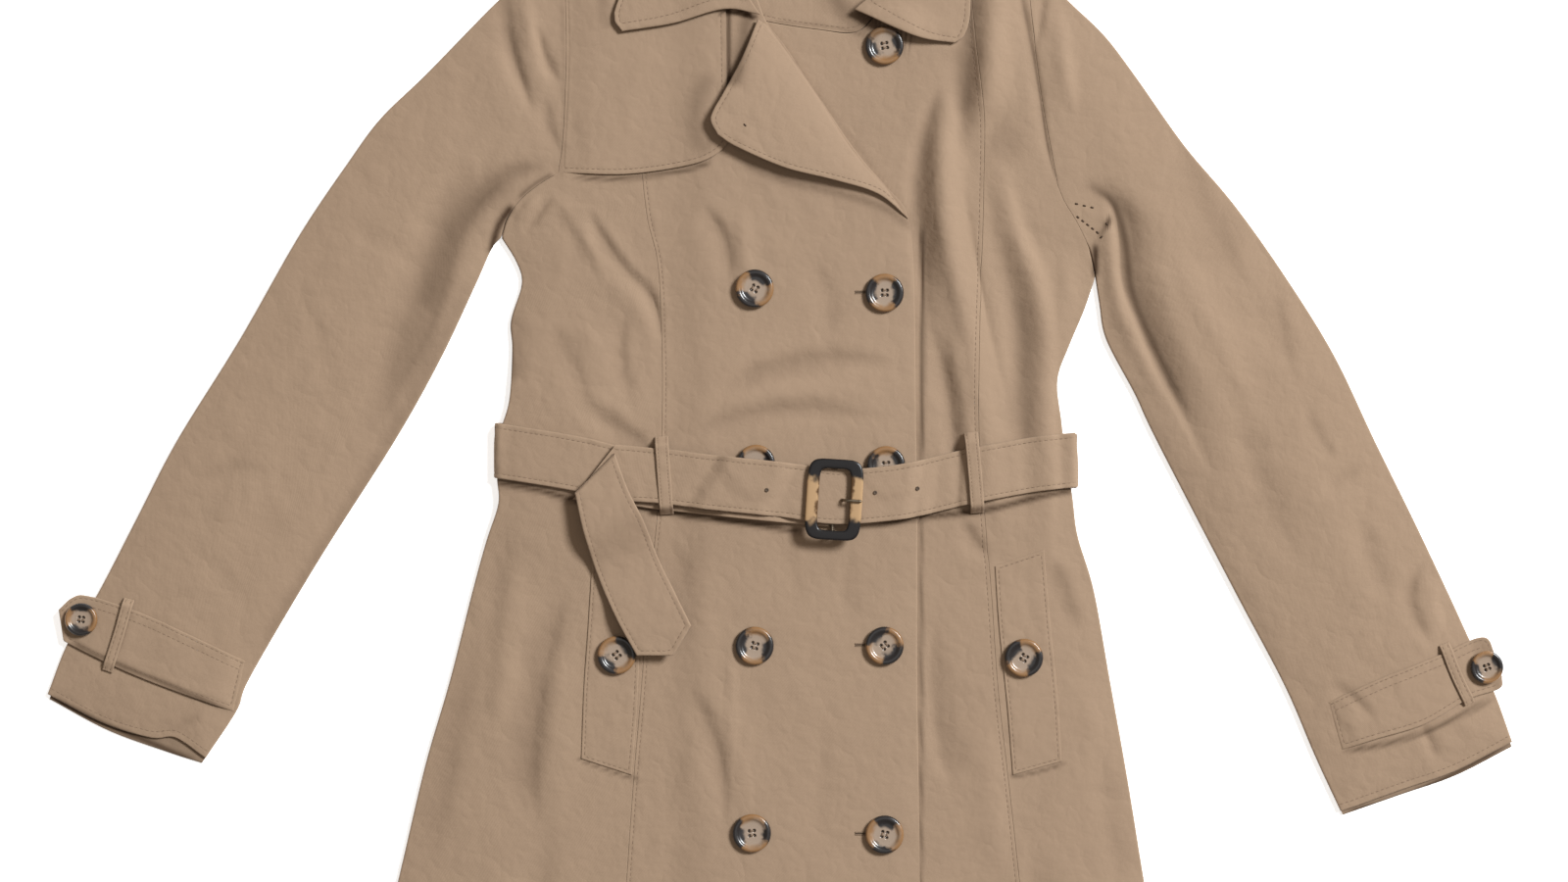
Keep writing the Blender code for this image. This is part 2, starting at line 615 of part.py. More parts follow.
def make_flap_and_lapel():
    """Gun flap on the wearer's right chest, and the lapel turned back beside it."""
    u, v = even(9), even(9)
    plan = coons(along(FLAP_BOTTOM, u), along(FLAP_TOP, u), along(FLAP_LEFT, v), along(FLAP_RIGHT, v))
    sheet("gun_flap", lay(plan, flap_low), TRIM)
    u, v = even(8), even(10)
    plan = coons(along(LAPEL_BOTTOM, u), along(LAPEL_TOP, u), along(LAPEL_OUTER, v),
                 along(LAPEL_ROLL, v))
    sheet("lapel", lay(plan, lapel_low), PANEL)


def flap_low(x, y):
    """Underside of the gun flap."""
    return over_low(x, y) + PANEL + LAY_GAP


def lapel_low(x, y):
    """Underside of the lapel: close at its roll line, standing off the flap at its tip."""
    gap = line_distance(x, y, smooth(LAPEL_ROLL))[0]
    return over_low(x, y) + PANEL + LAY_GAP + LAPEL_LIFT * (1 - np.exp(-gap / LAPEL_REACH))


def collar_support(x, y):
    """What the collar's leaves lie on: flap or front, and nothing past the shoulders."""
    right = flap_low(x, y) + TRIM + LAY_GAP
    left = body_low(x, y) + PANEL + LAY_GAP + over_disc(
        x, y, FRONT_BUTTONS[0][1], BUTTON_RADIUS, BUTTON_HEIGHT + COLLAR_ROOM)
    inside = 1 - ramp(y - height_at(SHOULDERS, x), *COLLAR_EASE)
    return np.where(x < COLLAR_MIDDLE_X, right, left) * inside


def make_collar():
    """Fall with its two leaves, the stand round the neck and the band that closes it."""
    u, v = even(6), even(27)
    plan = coons(along(COLLAR_END_RIGHT, u), along(COLLAR_END_LEFT, u), along(COLLAR_FOLD, v),
                 along(COLLAR_EDGE, v))
    plan[..., 2] = np.maximum(plan[..., 2], collar_support(plan[..., 0], plan[..., 1]))
    sheet("collar_fall", plan, PANEL)
    u, v = even(4), even(17)
    top, base = along(STAND_TOP, v), along(STAND_BASE, v)
    plan = top[:, None] + u[None, :, None] * (base - top)[:, None]
    sheet("collar_stand", plan, TRIM, TWILL_SHADE)
    u = even(9)
    bottom, top = along(BAND_BOTTOM, u), along(BAND_TOP, u)
    plan = bottom[None] + even(3)[:, None, None] * (top - bottom)[None]
    sheet("neck_band", lay(plan, body_low), PANEL)


def strap_low(x, y):
    """Underside of a cuff strap."""
    return sleeve_low(x, y) + PANEL + LAY_GAP


def loop(name, centre, width, steps, base, lift):
    """Loop along a centre line: down on its base at both ends, level and lifted between."""
    plan = strip(centre, width, steps, 1)
    own = base(plan[..., 0], plan[..., 1])
    share = even(steps + 1)[None]
    up = ramp(np.minimum(share, 1 - share), 0.0, LOOP_FOOT)
    height = LAY_GAP + (1 - up) * own + up * (np.max(own) + lift)
    sheet(name, np.dstack([plan, height]), LOOP)


def make_cuffs():
    """Strap and loop on each cuff."""
    v = even(4)
    for side, top, bottom in (("right", STRAP_RIGHT_TOP, STRAP_RIGHT_BOTTOM),
                              ("left", STRAP_LEFT_TOP, STRAP_LEFT_BOTTOM)):
        low_edge, high_edge = along(bottom, even(17)), along(top, even(17))
        plan = low_edge[None] + v[:, None, None] * (high_edge - low_edge)[None]
        sheet(f"cuff_strap_{side}", lay(plan, strap_low), TRIM)
    for side, centre in (("right", CUFF_LOOP_RIGHT), ("left", CUFF_LOOP_LEFT)):
        loop(f"cuff_loop_{side}", centre, CUFF_LOOP_WIDTH, 12, lambda x, y: sleeve_low(x, y) + PANEL,
             TRIM + LAY_GAP)


def welt_low(x, y):
    """Underside of a pocket welt."""
    return body_low(x, y) + PANEL + BELT_LAY


def make_welts():
    """A slanted welt on each side panel."""
    u, v = even(4), even(10)
    for side, left, right in (("right", WELT_RIGHT_OUTER, WELT_RIGHT_INNER),
                              ("left", WELT_LEFT_INNER, WELT_LEFT_OUTER)):
        left_edge, right_edge = along(left, v), along(right, v)
        plan = left_edge[:, None] + u[None, :, None] * (right_edge - left_edge)[:, None]
        sheet(f"welt_{side}", lay(plan, welt_low), TRIM)


def over_waist_buttons(x, y):
    """Rise of the belt over the two buttons it half covers."""
    rises = [over_disc(x, y, centre, BUTTON_RADIUS, BUTTON_HEIGHT + BELT_ROOM)
             for _, centre in FRONT_BUTTONS[3:5]]
    return np.maximum(*rises)


def buckle_end_low(x, y):
    """Underside of the belt end that holds the buckle."""
    return front_top(x, y) + BELT_LAY + over_waist_buttons(x, y)


def free_end_low(x, y):
    """Underside of the free end: on the buckle end, then down on the front past the buckle."""
    doubled = 1 - ramp(x, BUCKLE_CENTRE[0] + FREE_DROP[0], BUCKLE_CENTRE[0] + FREE_DROP[1])
    lower = over_waist_buttons(x, y)
    upper = over_waist_buttons(x, y) * (x < BUCKLE_CENTRE[0]) + BELT + BELT_GAP
    return front_top(x, y) + BELT_LAY + np.maximum(lower, upper * doubled)


def make_belt():
    """The belt in four lengths, with the two loops that carry it."""
    sheet("belt_back", lay(strip(BELT_BACK, BELT_WIDTH, 10, 2), lambda x, y: 0 * x), BELT, TWILL_SHADE)
    sheet("belt_buckle_end", lay_stiff(strip(BELT_BUCKLE_END, BELT_WIDTH, 26, 4), buckle_end_low), BELT)
    plan = strip(BELT_FREE, BELT_WIDTH, FREE_STEPS, 4)
    slanted = ramp(np.arange(FREE_STEPS + 1), FREE_STEPS - SLANT_STEPS, FREE_STEPS)
    plan[..., 0] -= (even(5) - 0.5)[:, None] * FOLD_SLANT * slanted
    sheet("belt_free_end", lay_stiff(plan, free_end_low), BELT)
    v = even(15)
    left, right = along(TAIL_LEFT, v), along(TAIL_RIGHT, v)
    tip = resample(np.array(TAIL_TIP, float), even(5))
    top = left[-1] + even(5)[:, None] * (right[-1] - left[-1])
    plan = coons(tip, top, left, right)
    share = np.broadcast_to(v[:, None], plan.shape[:2])
    height = front_top(plan[..., 0], plan[..., 1]) + np.interp(share, TAIL_SHARES, TAIL_HEIGHTS)
    sheet("belt_tail", np.dstack([plan, height]), BELT)
    for side, centre, lift in (("right", BELT_LOOP_RIGHT, 2 * BELT + BELT_GAP + BELT_LAY),
                               ("left", BELT_LOOP_LEFT, BELT + BELT_LAY)):
        loop(f"belt_loop_{side}", centre, BELT_LOOP_WIDTH, 14, front_top, lift)


def placed(x, y, z, turn=0.0):
    """World matrix at a place given in the tables' frame."""
    shift = ((x + FRAME_SHIFT_X) * MM, (y + FRAME_SHIFT_Y) * MM, z * MM)
    return Matrix.Translation(shift) @ Matrix.Rotation(turn, 4, "Z")


def button_profile(radius):
    """Half section (r, z) of a button, top centre to bottom centre: dish, rim, rounded edge."""
    return ((0.0, 2.4), (radius * 0.62, 2.6), (radius * 0.74, 3.9), (radius * 0.86, BUTTON_HEIGHT),
            (radius * 0.96, 3.4), (radius, 2.2), (radius * 0.8, 0.0), (0.0, 0.0))


def button(name, centre, radius, rest):
    """Turned button lying just above `rest`, its highest point beneath it."""
    angle = np.linspace(0, 2 * np.pi, BUTTON_FEET, endpoint=False)
    ring = np.concatenate([[0.0], np.full(BUTTON_FEET, radius * 0.5), np.full(BUTTON_FEET, radius * 0.8)])
    angle = np.concatenate([[0.0], angle, angle])
    under = rest(centre[0] + ring * np.cos(angle), centre[1] + ring * np.sin(angle))
    mesh = bpy.data.meshes.new(name)
    profile = [(r * MM, 0.0, z * MM) for r, z in button_profile(radius)]
    mesh.from_pydata(profile, [(i, i + 1) for i in range(len(profile) - 1)], [])
    made = add_object(name, mesh, HORN, 0.25)
    turned = made.modifiers.new("turned", "SCREW")
    turned.steps = turned.render_steps = BUTTON_STEPS
    turned.use_merge_vertices = True
    turned.merge_threshold = 0.00002
    made.matrix_world = placed(centre[0], centre[1], float(np.max(under)) + EDGE_GAP)
    return made


def make_buttons():
    """Front, pocket and cuff buttons."""
    for name, centre in FRONT_BUTTONS:
        on_over = centre[0] < across_at(FRONT_EDGE, centre[1]) and name != "button_top_left"
        base = over_low if on_over else body_low
        button(name, centre, BUTTON_RADIUS, lambda x, y: base(x, y) + PANEL)
    for name, centre in POCKET_BUTTONS:
        button(name, centre, BUTTON_RADIUS, lambda x, y: welt_low(x, y) + TRIM)
    for name, centre in CUFF_BUTTONS:
        button(name, centre, CUFF_BUTTON_RADIUS, lambda x, y: strap_low(x, y) + TRIM)


def rounded_plate(name, size, thick, corner, segments=3):
    """Mesh of a plate with round corners, standing on z = 0."""
    plate = bmesh.new()
    bmesh.ops.create_cube(plate, size=1.0)
    bmesh.ops.scale(plate, vec=(size[0] * MM, size[1] * MM, thick * MM), verts=plate.verts)
    bmesh.ops.translate(plate, vec=(0, 0, thick * MM / 2), verts=plate.verts)
    upright = [edge for edge in plate.edges
               if abs(edge.verts[0].co.z - edge.verts[1].co.z) > thick * MM / 2]
    bmesh.ops.bevel(plate, geom=upright, offset=corner * MM, segments=segments, affect="EDGES",
                    profile=0.5)
    mesh = bpy.data.meshes.new(name)
    plate.to_mesh(mesh)
    plate.free()
    return mesh


def rod(name, points, radius, place, colour, metallic=0.0):
    """Round wire through points given in the buckle's own frame."""
    curve = bpy.data.curves.new(name, "CURVE")
    curve.dimensions = "3D"
    curve.bevel_depth = radius * MM
    curve.bevel_resolution = 2
    curve.use_fill_caps = True
    spline = curve.splines.new("POLY")
    spline.points.add(len(points) - 1)
    for knot, point in zip(spline.points, points):
        knot.co = (*[value * MM for value in point], 1.0)
    curve.materials.append(principled(name, colour, 0.3, metallic))
    made = bpy.data.objects.new(name, curve)
    made.matrix_world = place
    parts.objects.link(made)
    return made


def make_buckle():
    """Frame on the belt, centre bar under it, and the prong through the belt's eyelet."""
    x = BUCKLE_CENTRE[0] + (even(9) - 0.5)[None] * BUCKLE_SIZE[0]
    y = BUCKLE_CENTRE[1] + (even(9) - 0.5)[:, None] * BUCKLE_SIZE[1]
    level = float(np.max(front_top(x + 0 * y, y + 0 * x)))
    place = placed(*BUCKLE_CENTRE, level + BUCKLE_REST, BUCKLE_TURN)
    frame = add_object("buckle_frame", rounded_plate("buckle_frame", BUCKLE_SIZE, BUCKLE_THICK,
                                                     BUCKLE_CORNER), HORN, 0.2)
    frame.matrix_world = place
    hole = bpy.data.objects.new("buckle_opening", rounded_plate(
        "buckle_opening", BUCKLE_OPENING, BUCKLE_THICK * 3, OPENING_CORNER, 2))
    hole.matrix_world = place @ Matrix.Translation((0, 0, -BUCKLE_THICK * MM))
    hide(hole)
    cut = frame.modifiers.new("opening", "BOOLEAN")
    cut.object = hole
    cut.operation = "DIFFERENCE"
    soft = frame.modifiers.new("soft_edges", "BEVEL")
    soft.width = BUCKLE_SOFT * MM
    soft.segments = 2
    soft.limit_method = "ANGLE"
    soft.angle_limit = math.radians(50)

    # the bar hangs from the frame's two long ends, its length level at `deep`
    leg = BUCKLE_OPENING[1] / 2 + BAR_RADIUS + BAR_INSET
    deep = BAR_RADIUS + EDGE_GAP - BUCKLE_REST
    top = -EDGE_GAP
    rod("buckle_bar", ((0, leg, top), (0, leg, deep + BAR_BEND), (0, leg - BAR_BEND, deep),
                       (0, BAR_BEND - leg, deep), (0, -leg, deep + BAR_BEND), (0, -leg, top)),
        BAR_RADIUS, place, METAL, 1.0)
    # the prong starts beside the bar, rises through the eyelet and lies across the frame
    near_bar = BAR_RADIUS + PRONG_RADIUS + EDGE_GAP
    above_belt = 2 * BELT + BELT_LAY + BELT_GAP - BUCKLE_REST + 0.6
    on_frame = BUCKLE_THICK + PRONG_RADIUS + EDGE_GAP
    rod("buckle_prong", ((near_bar, 0, deep), (near_bar + 1.2, 0, deep + 0.2), (EYELET_X, 0, deep + 1.4),
                         (EYELET_X, 0, above_belt), (EYELET_X + 1.6, 0, above_belt + 2.0),
                         (BUCKLE_OPENING[0] / 2 - 1.6, 0, on_frame), (PRONG_END_X, 0, on_frame)),
        PRONG_RADIUS, place, METAL, 1.0)
    bpy.ops.mesh.primitive_cylinder_add(vertices=12, radius=EYELET_RADIUS * MM, depth=PUNCH_DEPTH * MM)
    punch = bpy.context.object
    punch.name = "eyelet_punch"
    punch.matrix_world = place @ Matrix.Translation((EYELET_X * MM, 0, deep * MM))
    for linked in punch.users_collection:
        linked.objects.unlink(punch)
    hide(punch)
    eyelet = bpy.data.objects["belt_free_end"].modifiers.new("eyelet", "BOOLEAN")
    eyelet.object = punch
    eyelet.operation = "DIFFERENCE"


def hide(cutter):
    """Keeps a cutter out of the model."""
    cutter.hide_render = True
    cutter.display_type = "WIRE"
    cutters.objects.link(cutter)


# ---------------------------------------------------------------- the coat
for old in list(bpy.data.objects):
    bpy.data.objects.remove(old, do_unlink=True)
parts = collection(COLLECTION)
cutters = collection(CUTTERS)
make_body()
make_sleeve("right", SLEEVE_RIGHT_OUTER, SLEEVE_RIGHT_INNER, CUFF_RIGHT, CUFF_RIGHT_UNDER, SEAM_GAP)
make_sleeve("left", SLEEVE_LEFT_OUTER, SLEEVE_LEFT_INNER, CUFF_LEFT, CUFF_LEFT_UNDER, -SEAM_GAP)
make_flap_and_lapel()
make_collar()
make_cuffs()
make_welts()
make_belt()
make_buttons()
make_buckle()
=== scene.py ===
"""Looks of a double-breasted trench coat, buttoned and belted, laid flat on its back.

Tables give places in millimetres in the coat's own frame: x towards the
wearer's left sleeve, y towards the collar, z up from the surface it lies on.
Every cloth piece is a closed shell over a grid between four edges. Its
underside follows what it lies on, and its rims are rolled, grooved by their
stitching and creased as cotton twill creases.
"""
import logging
import math
from dataclasses import dataclass, field
from enum import Enum
from typing import Callable

import bpy
import numpy as np
from mathutils import Matrix, Vector


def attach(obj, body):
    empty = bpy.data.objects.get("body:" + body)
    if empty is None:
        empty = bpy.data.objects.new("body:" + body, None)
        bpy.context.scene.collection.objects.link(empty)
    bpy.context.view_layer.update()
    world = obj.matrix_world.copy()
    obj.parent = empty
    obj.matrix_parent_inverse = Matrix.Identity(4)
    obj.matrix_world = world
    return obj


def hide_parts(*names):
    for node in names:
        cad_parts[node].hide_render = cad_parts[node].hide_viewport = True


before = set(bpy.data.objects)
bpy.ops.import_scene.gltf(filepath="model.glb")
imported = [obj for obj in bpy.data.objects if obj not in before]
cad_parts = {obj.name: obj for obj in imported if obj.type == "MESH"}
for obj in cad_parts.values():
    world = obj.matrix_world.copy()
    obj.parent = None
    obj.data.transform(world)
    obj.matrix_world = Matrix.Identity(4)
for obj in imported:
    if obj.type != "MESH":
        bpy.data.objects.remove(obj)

Array = np.ndarray
Height = Callable[[Array, Array], Array]

log = logging.getLogger("trench_coat")

MM = 0.001
# moves the tables' frame so that the coat's box is centred on the origin
FRAME_SHIFT = np.array([0.5, -2.65, 0.0])

# walls: lined panels, trim, the belt and its loops
PANEL = 1.8
TRIM = 1.4
BELT = 2.4
LOOP = 1.2
# gaps: between the belt's layers, under the belt, under laid pieces, front to back at the edge
BELT_GAP = 1.3
BELT_LAY = 0.9
LAY_GAP = 0.7
EDGE_GAP = 0.35
# a seam's two edges stand this far apart
SEAM_GAP = 0.14
# what the over front stands on
STACK = PANEL + 1.1
# how far the belt stays level across its width where the cloth below dips
BELT_STIFFNESS = 0.7

# the front stands this far off the back, and reaches that height this far from the outline
PUFF = 4.6
PUFF_REACH = 26.0
# how softly a trough comes to rest on the layer below, and the height of the cloth's faint swell
LIFT_SOFT = 0.5
SWELL = 0.16
# the back panel rises over the hidden half of the belt: level this far each way, then down a slope
BELT_WIDTH = 40.0
WAIST_Y = 39
RISE = BELT + EDGE_GAP
RISE_FLAT = 25.0
RISE_SLOPE = 14.0
# the front comes down from that rise over this length
FRONT_SLOPE = 75.0
HEM_Y = -454
# where the over front steps up, from the under front's hidden edge, and down, from its own edge
OVER_STEP = (-40.0, -6.0)
FRONT_BRIDGE = (1.0, 15.0)
# how much closer the over front lies at its pressed edge, and how far in
PRESSED = 0.95
PRESSED_REACH = 12.0

# how far the lapel stands off and over which reach, and how its roll line is pressed down
LAPEL_LIFT = 7.2
LAPEL_REACH = 22.0
LAPEL_PRESS = 0.6
LAPEL_PRESS_REACH = 5.0
# where the collar's leaves part and its ground ends past the shoulders, how softly it lies on
# that ground, and how far the leaves stand off it
COLLAR_MIDDLE_X = 17
COLLAR_EASE = (4.0, 10.0)
COLLAR_SOFT = 0.5
LEAF_LIFT = 1.6
# how deep flap and straps sink into the seam that holds them, past their wall, and over which reach
FLAP_SINK = (0.45, 22.0)
STRAP_SINK = (0.35, 16.0)
# a welt's wall, and its gap, for it is sewn down
WELT = 0.75
WELT_LAY = 0.1

BUTTON_RADIUS = 14.0
CUFF_BUTTON_RADIUS = 12.0
BUTTON_HEIGHT = 4.2
# how cloth clears a button: a margin round it, then a slope and some room, for belt and collar
DISC_MARGIN = 3.0
BELT_SLOPE = 12.0
BELT_ROOM = 0.3
COLLAR_SLOPE = 30.0
COLLAR_ROOM = 1.2

BUCKLE_CENTRE = (39, 7)
# how far past the buckle's middle the free end comes down onto the front
FREE_DROP = (19.0, 40.0)

# points on each span of a smooth curve, and places handled at a time
SPAN_STEPS = 12
CHUNK = 20000
SEED = 11

# ---- edge tables
ARMPIT_RIGHT = ((-205, 199), (-200, 214), (-189, 228), (-175, 239), (-163, 246))
HEAD_RIGHT = ((-163, 246), (-160, 266), (-158, 302), (-157, 345), (-159, 407))
SIDE_RIGHT = (
    (-205, 199), (-194, 181), (-190, 165), (-198, 138), (-197, 117), (-199, 80), (-206, 54), (-208, 24),
    (-207, 4), (-216, -24), (-226, -60), (-243, -127), (-261, -189), (-281, -274), (-304, -368),
    (-323, -454))
ARMPIT_LEFT = ((231, 170), (226, 191), (217, 210), (208, 225), (203, 237))
HEAD_LEFT = ((203, 237), (198, 266), (192, 302), (187, 338), (183, 370), (180, 405))
SIDE_LEFT = (
    (231, 170), (223, 146), (212, 120), (203, 94), (206, 64), (209, 39), (214, 9), (218, -20), (230, -60),
    (242, -127), (255, -200), (267, -274), (283, -368), (296, -454))
SHOULDERS = ((-159, 407), (-37, 440), (-12, 432), (28, 428), (67, 432), (93, 440), (180, 405))
SEAM_RIGHT = (
    (-105, 421), (-105, 330), (-103, 266), (-98, 215), (-90, 179), (-87, 122), (-87, 57), (-90, -1),
    (-97, -66), (-102, -130), (-108, -202), (-113, -274), (-120, -368), (-127, -454))
SEAM_LEFT = (
    (136, 423), (143, 352), (149, 287), (148, 208), (145, 129), (145, 57), (149, -1), (154, -58),
    (159, -130), (167, -202), (175, -274), (185, -368), (194, -454))
FRONT_EDGE = ((102, -454), (102, -274), (100, -130), (100, -8), (99, 57), (98, 158), (93, 214))
ROLL_LINE = ((93, 214), (78, 235), (62, 253), (47, 273), (33, 294), (18, 316), (3, 339), (-10, 356))
OVER_NECK = ((-10, 356), (-18, 377), (-28, 410), (-37, 440))
UNDER_EDGE_X = -43
UNDER_TOP = (
    (-43, 365), (-5, 356), (28, 351), (54, 349), (69, 361), (78, 379), (85, 404), (93, 440), (114, 431),
    (136, 423))

SLEEVE_RIGHT_OUTER = (
    (-538, -136), (-523, -98), (-501, -62), (-473, -8), (-443, 50), (-397, 124), (-353, 201), (-316, 256),
    (-293, 287), (-261, 318), (-224, 356), (-206, 374), (-181, 397), (-159, 407))
SLEEVE_RIGHT_INNER = (
    (-422, -183), (-399, -148), (-389, -123), (-339, -38), (-283, 50), (-250, 109), (-224, 164),
    (-212, 191), (-205, 199))
CUFF_RIGHT = ((-538, -136), (-498, -157), (-462, -168), (-444, -168), (-422, -183))
CUFF_RIGHT_UNDER = ((-537, -140), (-494, -163), (-450, -179), (-425, -187))
SLEEVE_LEFT_OUTER = (
    (537, -171), (524, -135), (507, -99), (491, -64), (465, -9), (436, 50), (406, 113), (370, 171),
    (333, 223), (296, 267), (260, 318), (237, 348), (210, 374), (194, 394), (180, 405))
SLEEVE_LEFT_INNER = (
    (411, -222), (392, -181), (370, -130), (333, -60), (276, 50), (260, 84), (239, 124), (234, 150),
    (231, 170))
CUFF_LEFT = ((537, -171), (496, -192), (456, -206), (411, -222))
CUFF_LEFT_UNDER = ((537, -175), (496, -196), (456, -210), (413, -225))

FLAP_LEFT = ((-160, 246), (-159, 266), (-157, 302), (-156, 345), (-158, 405))
FLAP_RIGHT = ((-37, 269), (-39, 305), (-40, 365), (-40, 436))
FLAP_BOTTOM = ((-160, 246), (-113, 245), (-69, 251), (-49, 258), (-37, 269))
FLAP_TOP = ((-158, 405), (-40, 436))

LAPEL_OUTER = ((-46, 273), (-51, 283), (-49, 291), (-41, 305), (-28, 330), (-17, 358))
LAPEL_ROLL = ((93, 212), (77, 235), (61, 252), (46, 272), (32, 294), (18, 315), (2, 338), (-10, 354))
LAPEL_TOP = ((-17, 358), (-10, 354))
LAPEL_BOTTOM = ((-46, 273), (-32, 264), (3, 249), (39, 240), (71, 230), (93, 212))

# collar, rows (x, y, z): the fold it turns over, its free edge and its two front ends
COLLAR_FOLD = (
    (-15, 361, 14.5), (-28, 384, 17), (-31, 413, 21), (-13, 440, 25), (28, 450, 27), (69, 441, 25),
    (86, 415, 21), (78, 388, 17), (54, 365, 14.5))
COLLAR_EDGE = (
    (-116, 349, 12), (-122, 359, 12), (-118, 374, 11), (-105, 405, 10), (-71, 437, 6), (-25, 454, 1.5),
    (28, 458, 0.8), (80, 454, 1.5), (119, 436, 6), (138, 405, 8), (139, 374, 9), (138, 357, 9),
    (134, 346, 9), (127, 341, 9))
COLLAR_END_RIGHT = ((-15, 361, 14.5), (-41, 365, 13), (-78, 355, 12), (-116, 349, 12))
COLLAR_END_LEFT = ((54, 365, 14.5), (82, 352, 12), (103, 344, 10), (127, 341, 9))
STAND_BASE = (
    (-18, 384, 10.5), (-22, 405, 8.8), (-9, 423, 4), (28, 426, 2.3), (64, 423, 4), (80, 404, 6),
    (73, 382, 7.5))
BAND_BOTTOM = ((-23, 363), (-5, 358), (28, 353), (54, 351), (66, 361))
BAND_TOP = ((-19, 384), (3, 379), (28, 378), (51, 379), (75, 380))

STRAP_RIGHT_TOP = ((-529, -74), (-519, -65), (-507, -64), (-469, -76), (-429, -94), (-392, -112))
STRAP_RIGHT_BOTTOM = ((-526, -96), (-522, -99), (-491, -114), (-458, -128), (-401, -149))
STRAP_LEFT_TOP = ((401, -142), (435, -126), (460, -116), (485, -106), (515, -94), (524, -107))
STRAP_LEFT_BOTTOM = ((411, -177), (435, -169), (471, -158), (503, -140), (527, -132), (529, -123))

WELT_RIGHT_OUTER = ((-146, -183), (-144, -130), (-141, -87), (-138, -37))
WELT_RIGHT_INNER = ((-109, -195), (-105, -145), (-103, -94), (-101, -48))
WELT_LEFT_INNER = ((170, -195), (166, -145), (160, -87), (157, -42))
WELT_LEFT_OUTER = ((206, -185), (203, -138), (198, -87), (193, -30))

# belt: centre lines (x, y) from the wearer's right to left, and the hanging tail's two edges
BELT_FREE = (
    (-136, 27), (-87, 24), (-55, 20), (3, 14), (39, 9), (75, 11), (100, 15), (139, 24), (183, 32),
    (217, 36))
BELT_BUCKLE_END = ((-210, 43), (-149, 33), (-105, 22), (-55, 16), (3, 10), (37, 7))
BELT_BACK = ((-210, 43), (3, 39), (217, 35))
TAIL_LEFT = ((-105, -107), (-120, -80), (-133, -51), (-143, -19), (-150, 12))
TAIL_RIGHT = ((-65, -85), (-77, -61), (-89, -37), (-100, -8), (-111, 14), (-121, 41))
TAIL_TIP = ((-105, -107), (-78, -107), (-65, -85))
# how far the free end leans where the tail folds over it, and over which share of its length
FOLD_SLANT = 29.0
SLANT_SHARE = 0.13
# the tail's height above the front, rows: share of its length from the tip, height
TAIL_RISE = ((0.0, 8.0), (0.2, 8.0), (0.36, 3.4), (0.52, 3.4), (0.7, 10.6), (0.86, 9.6), (1.0, 8.6))

BELT_LOOP_RIGHT = ((-87, 53), (-85, 24), (-83, -4))
BELT_LOOP_LEFT = ((139, 56), (142, 24), (144, -3))
CUFF_LOOP_RIGHT = ((-477, -66), (-484, -91), (-493, -119))
CUFF_LOOP_LEFT = ((486, -99), (495, -122), (505, -143))
BELT_LOOP_WIDTH = 10.0
CUFF_LOOP_WIDTH = 8.0
# share of a loop's length over which it rises at each end
LOOP_FOOT = 0.12
LOOP_ROW = 2.0

# broad folds: a ridge (+) or trough (-) along three points, with its height and half width
FOLDS = (
    # wearer's right side and centre
    ((-141, 222), (-113, 172), (-90, 113), 4, 9),
    ((-170, 233), (-152, 207), (-137, 178), 3, 8),
    ((-144, 87), (-121, 71), (-101, 53), 2.6, 8),
    ((-185, 158), (-186, 122), (-192, 78), 2.4, 9),
    ((-69, 97), (3, 113), (93, 90), 1.6, 12),
    ((-177, -87), (-163, -145), (-166, -246), 3.4, 14),
    ((-69, -30), (-58, -145), (-61, -274), 1.8, 16),
    ((-199, -246), (-210, -332), (-228, -447), 4, 20),
    ((-69, -303), (-77, -375), (-84, -451), 3, 22),
    # wearer's left front
    ((111, 284), (108, 204), (111, 64), -1.8, 8),
    ((121, 302), (118, 172), (129, 58), 4.2, 12),
    ((155, 280), (161, 172), (165, 64), 3.6, 13),
    ((175, 201), (186, 129), (190, 57), -2.4, 11),
    ((213, 179), (203, 122), (200, 64), 2.2, 12),
    ((139, 368), (154, 330), (162, 287), 3, 12),
    ((191, -19), (208, -51), (219, -87), 2.4, 9),
    ((226, -116), (236, -188), (247, -274), 2.6, 14),
    ((211, -260), (226, -346), (240, -447), 4, 20),
    ((136, -274), (143, -361), (147, -451), 3.2, 22),
    # sleeve of the wearer's right arm
    ((-188, 388), (-181, 338), (-173, 289), 3, 9),
    ((-213, 345), (-205, 309), (-192, 266), 2.2, 12),
    ((-246, 266), (-300, 172), (-357, 64), 2.8, 20),
    ((-357, 86), (-401, 14), (-444, -66), 2.4, 18),
    ((-228, 201), (-264, 136), (-303, 64), -2, 12),
    # sleeve of the wearer's left arm
    ((193, 388), (200, 338), (208, 280), 2.6, 10),
    ((216, 237), (246, 221), (259, 172), -2.4, 10),
    ((219, 330), (262, 237), (301, 158), 2.6, 18),
    ((270, 194), (298, 107), (352, -8), 3, 18),
    ((363, 86), (399, -1), (435, -87), 2.4, 18),
    ((460, -58), (471, -87), (473, -113), 3.4, 8),
)

# share kept of each broad fold's height
FOLD_SHARE = 0.4

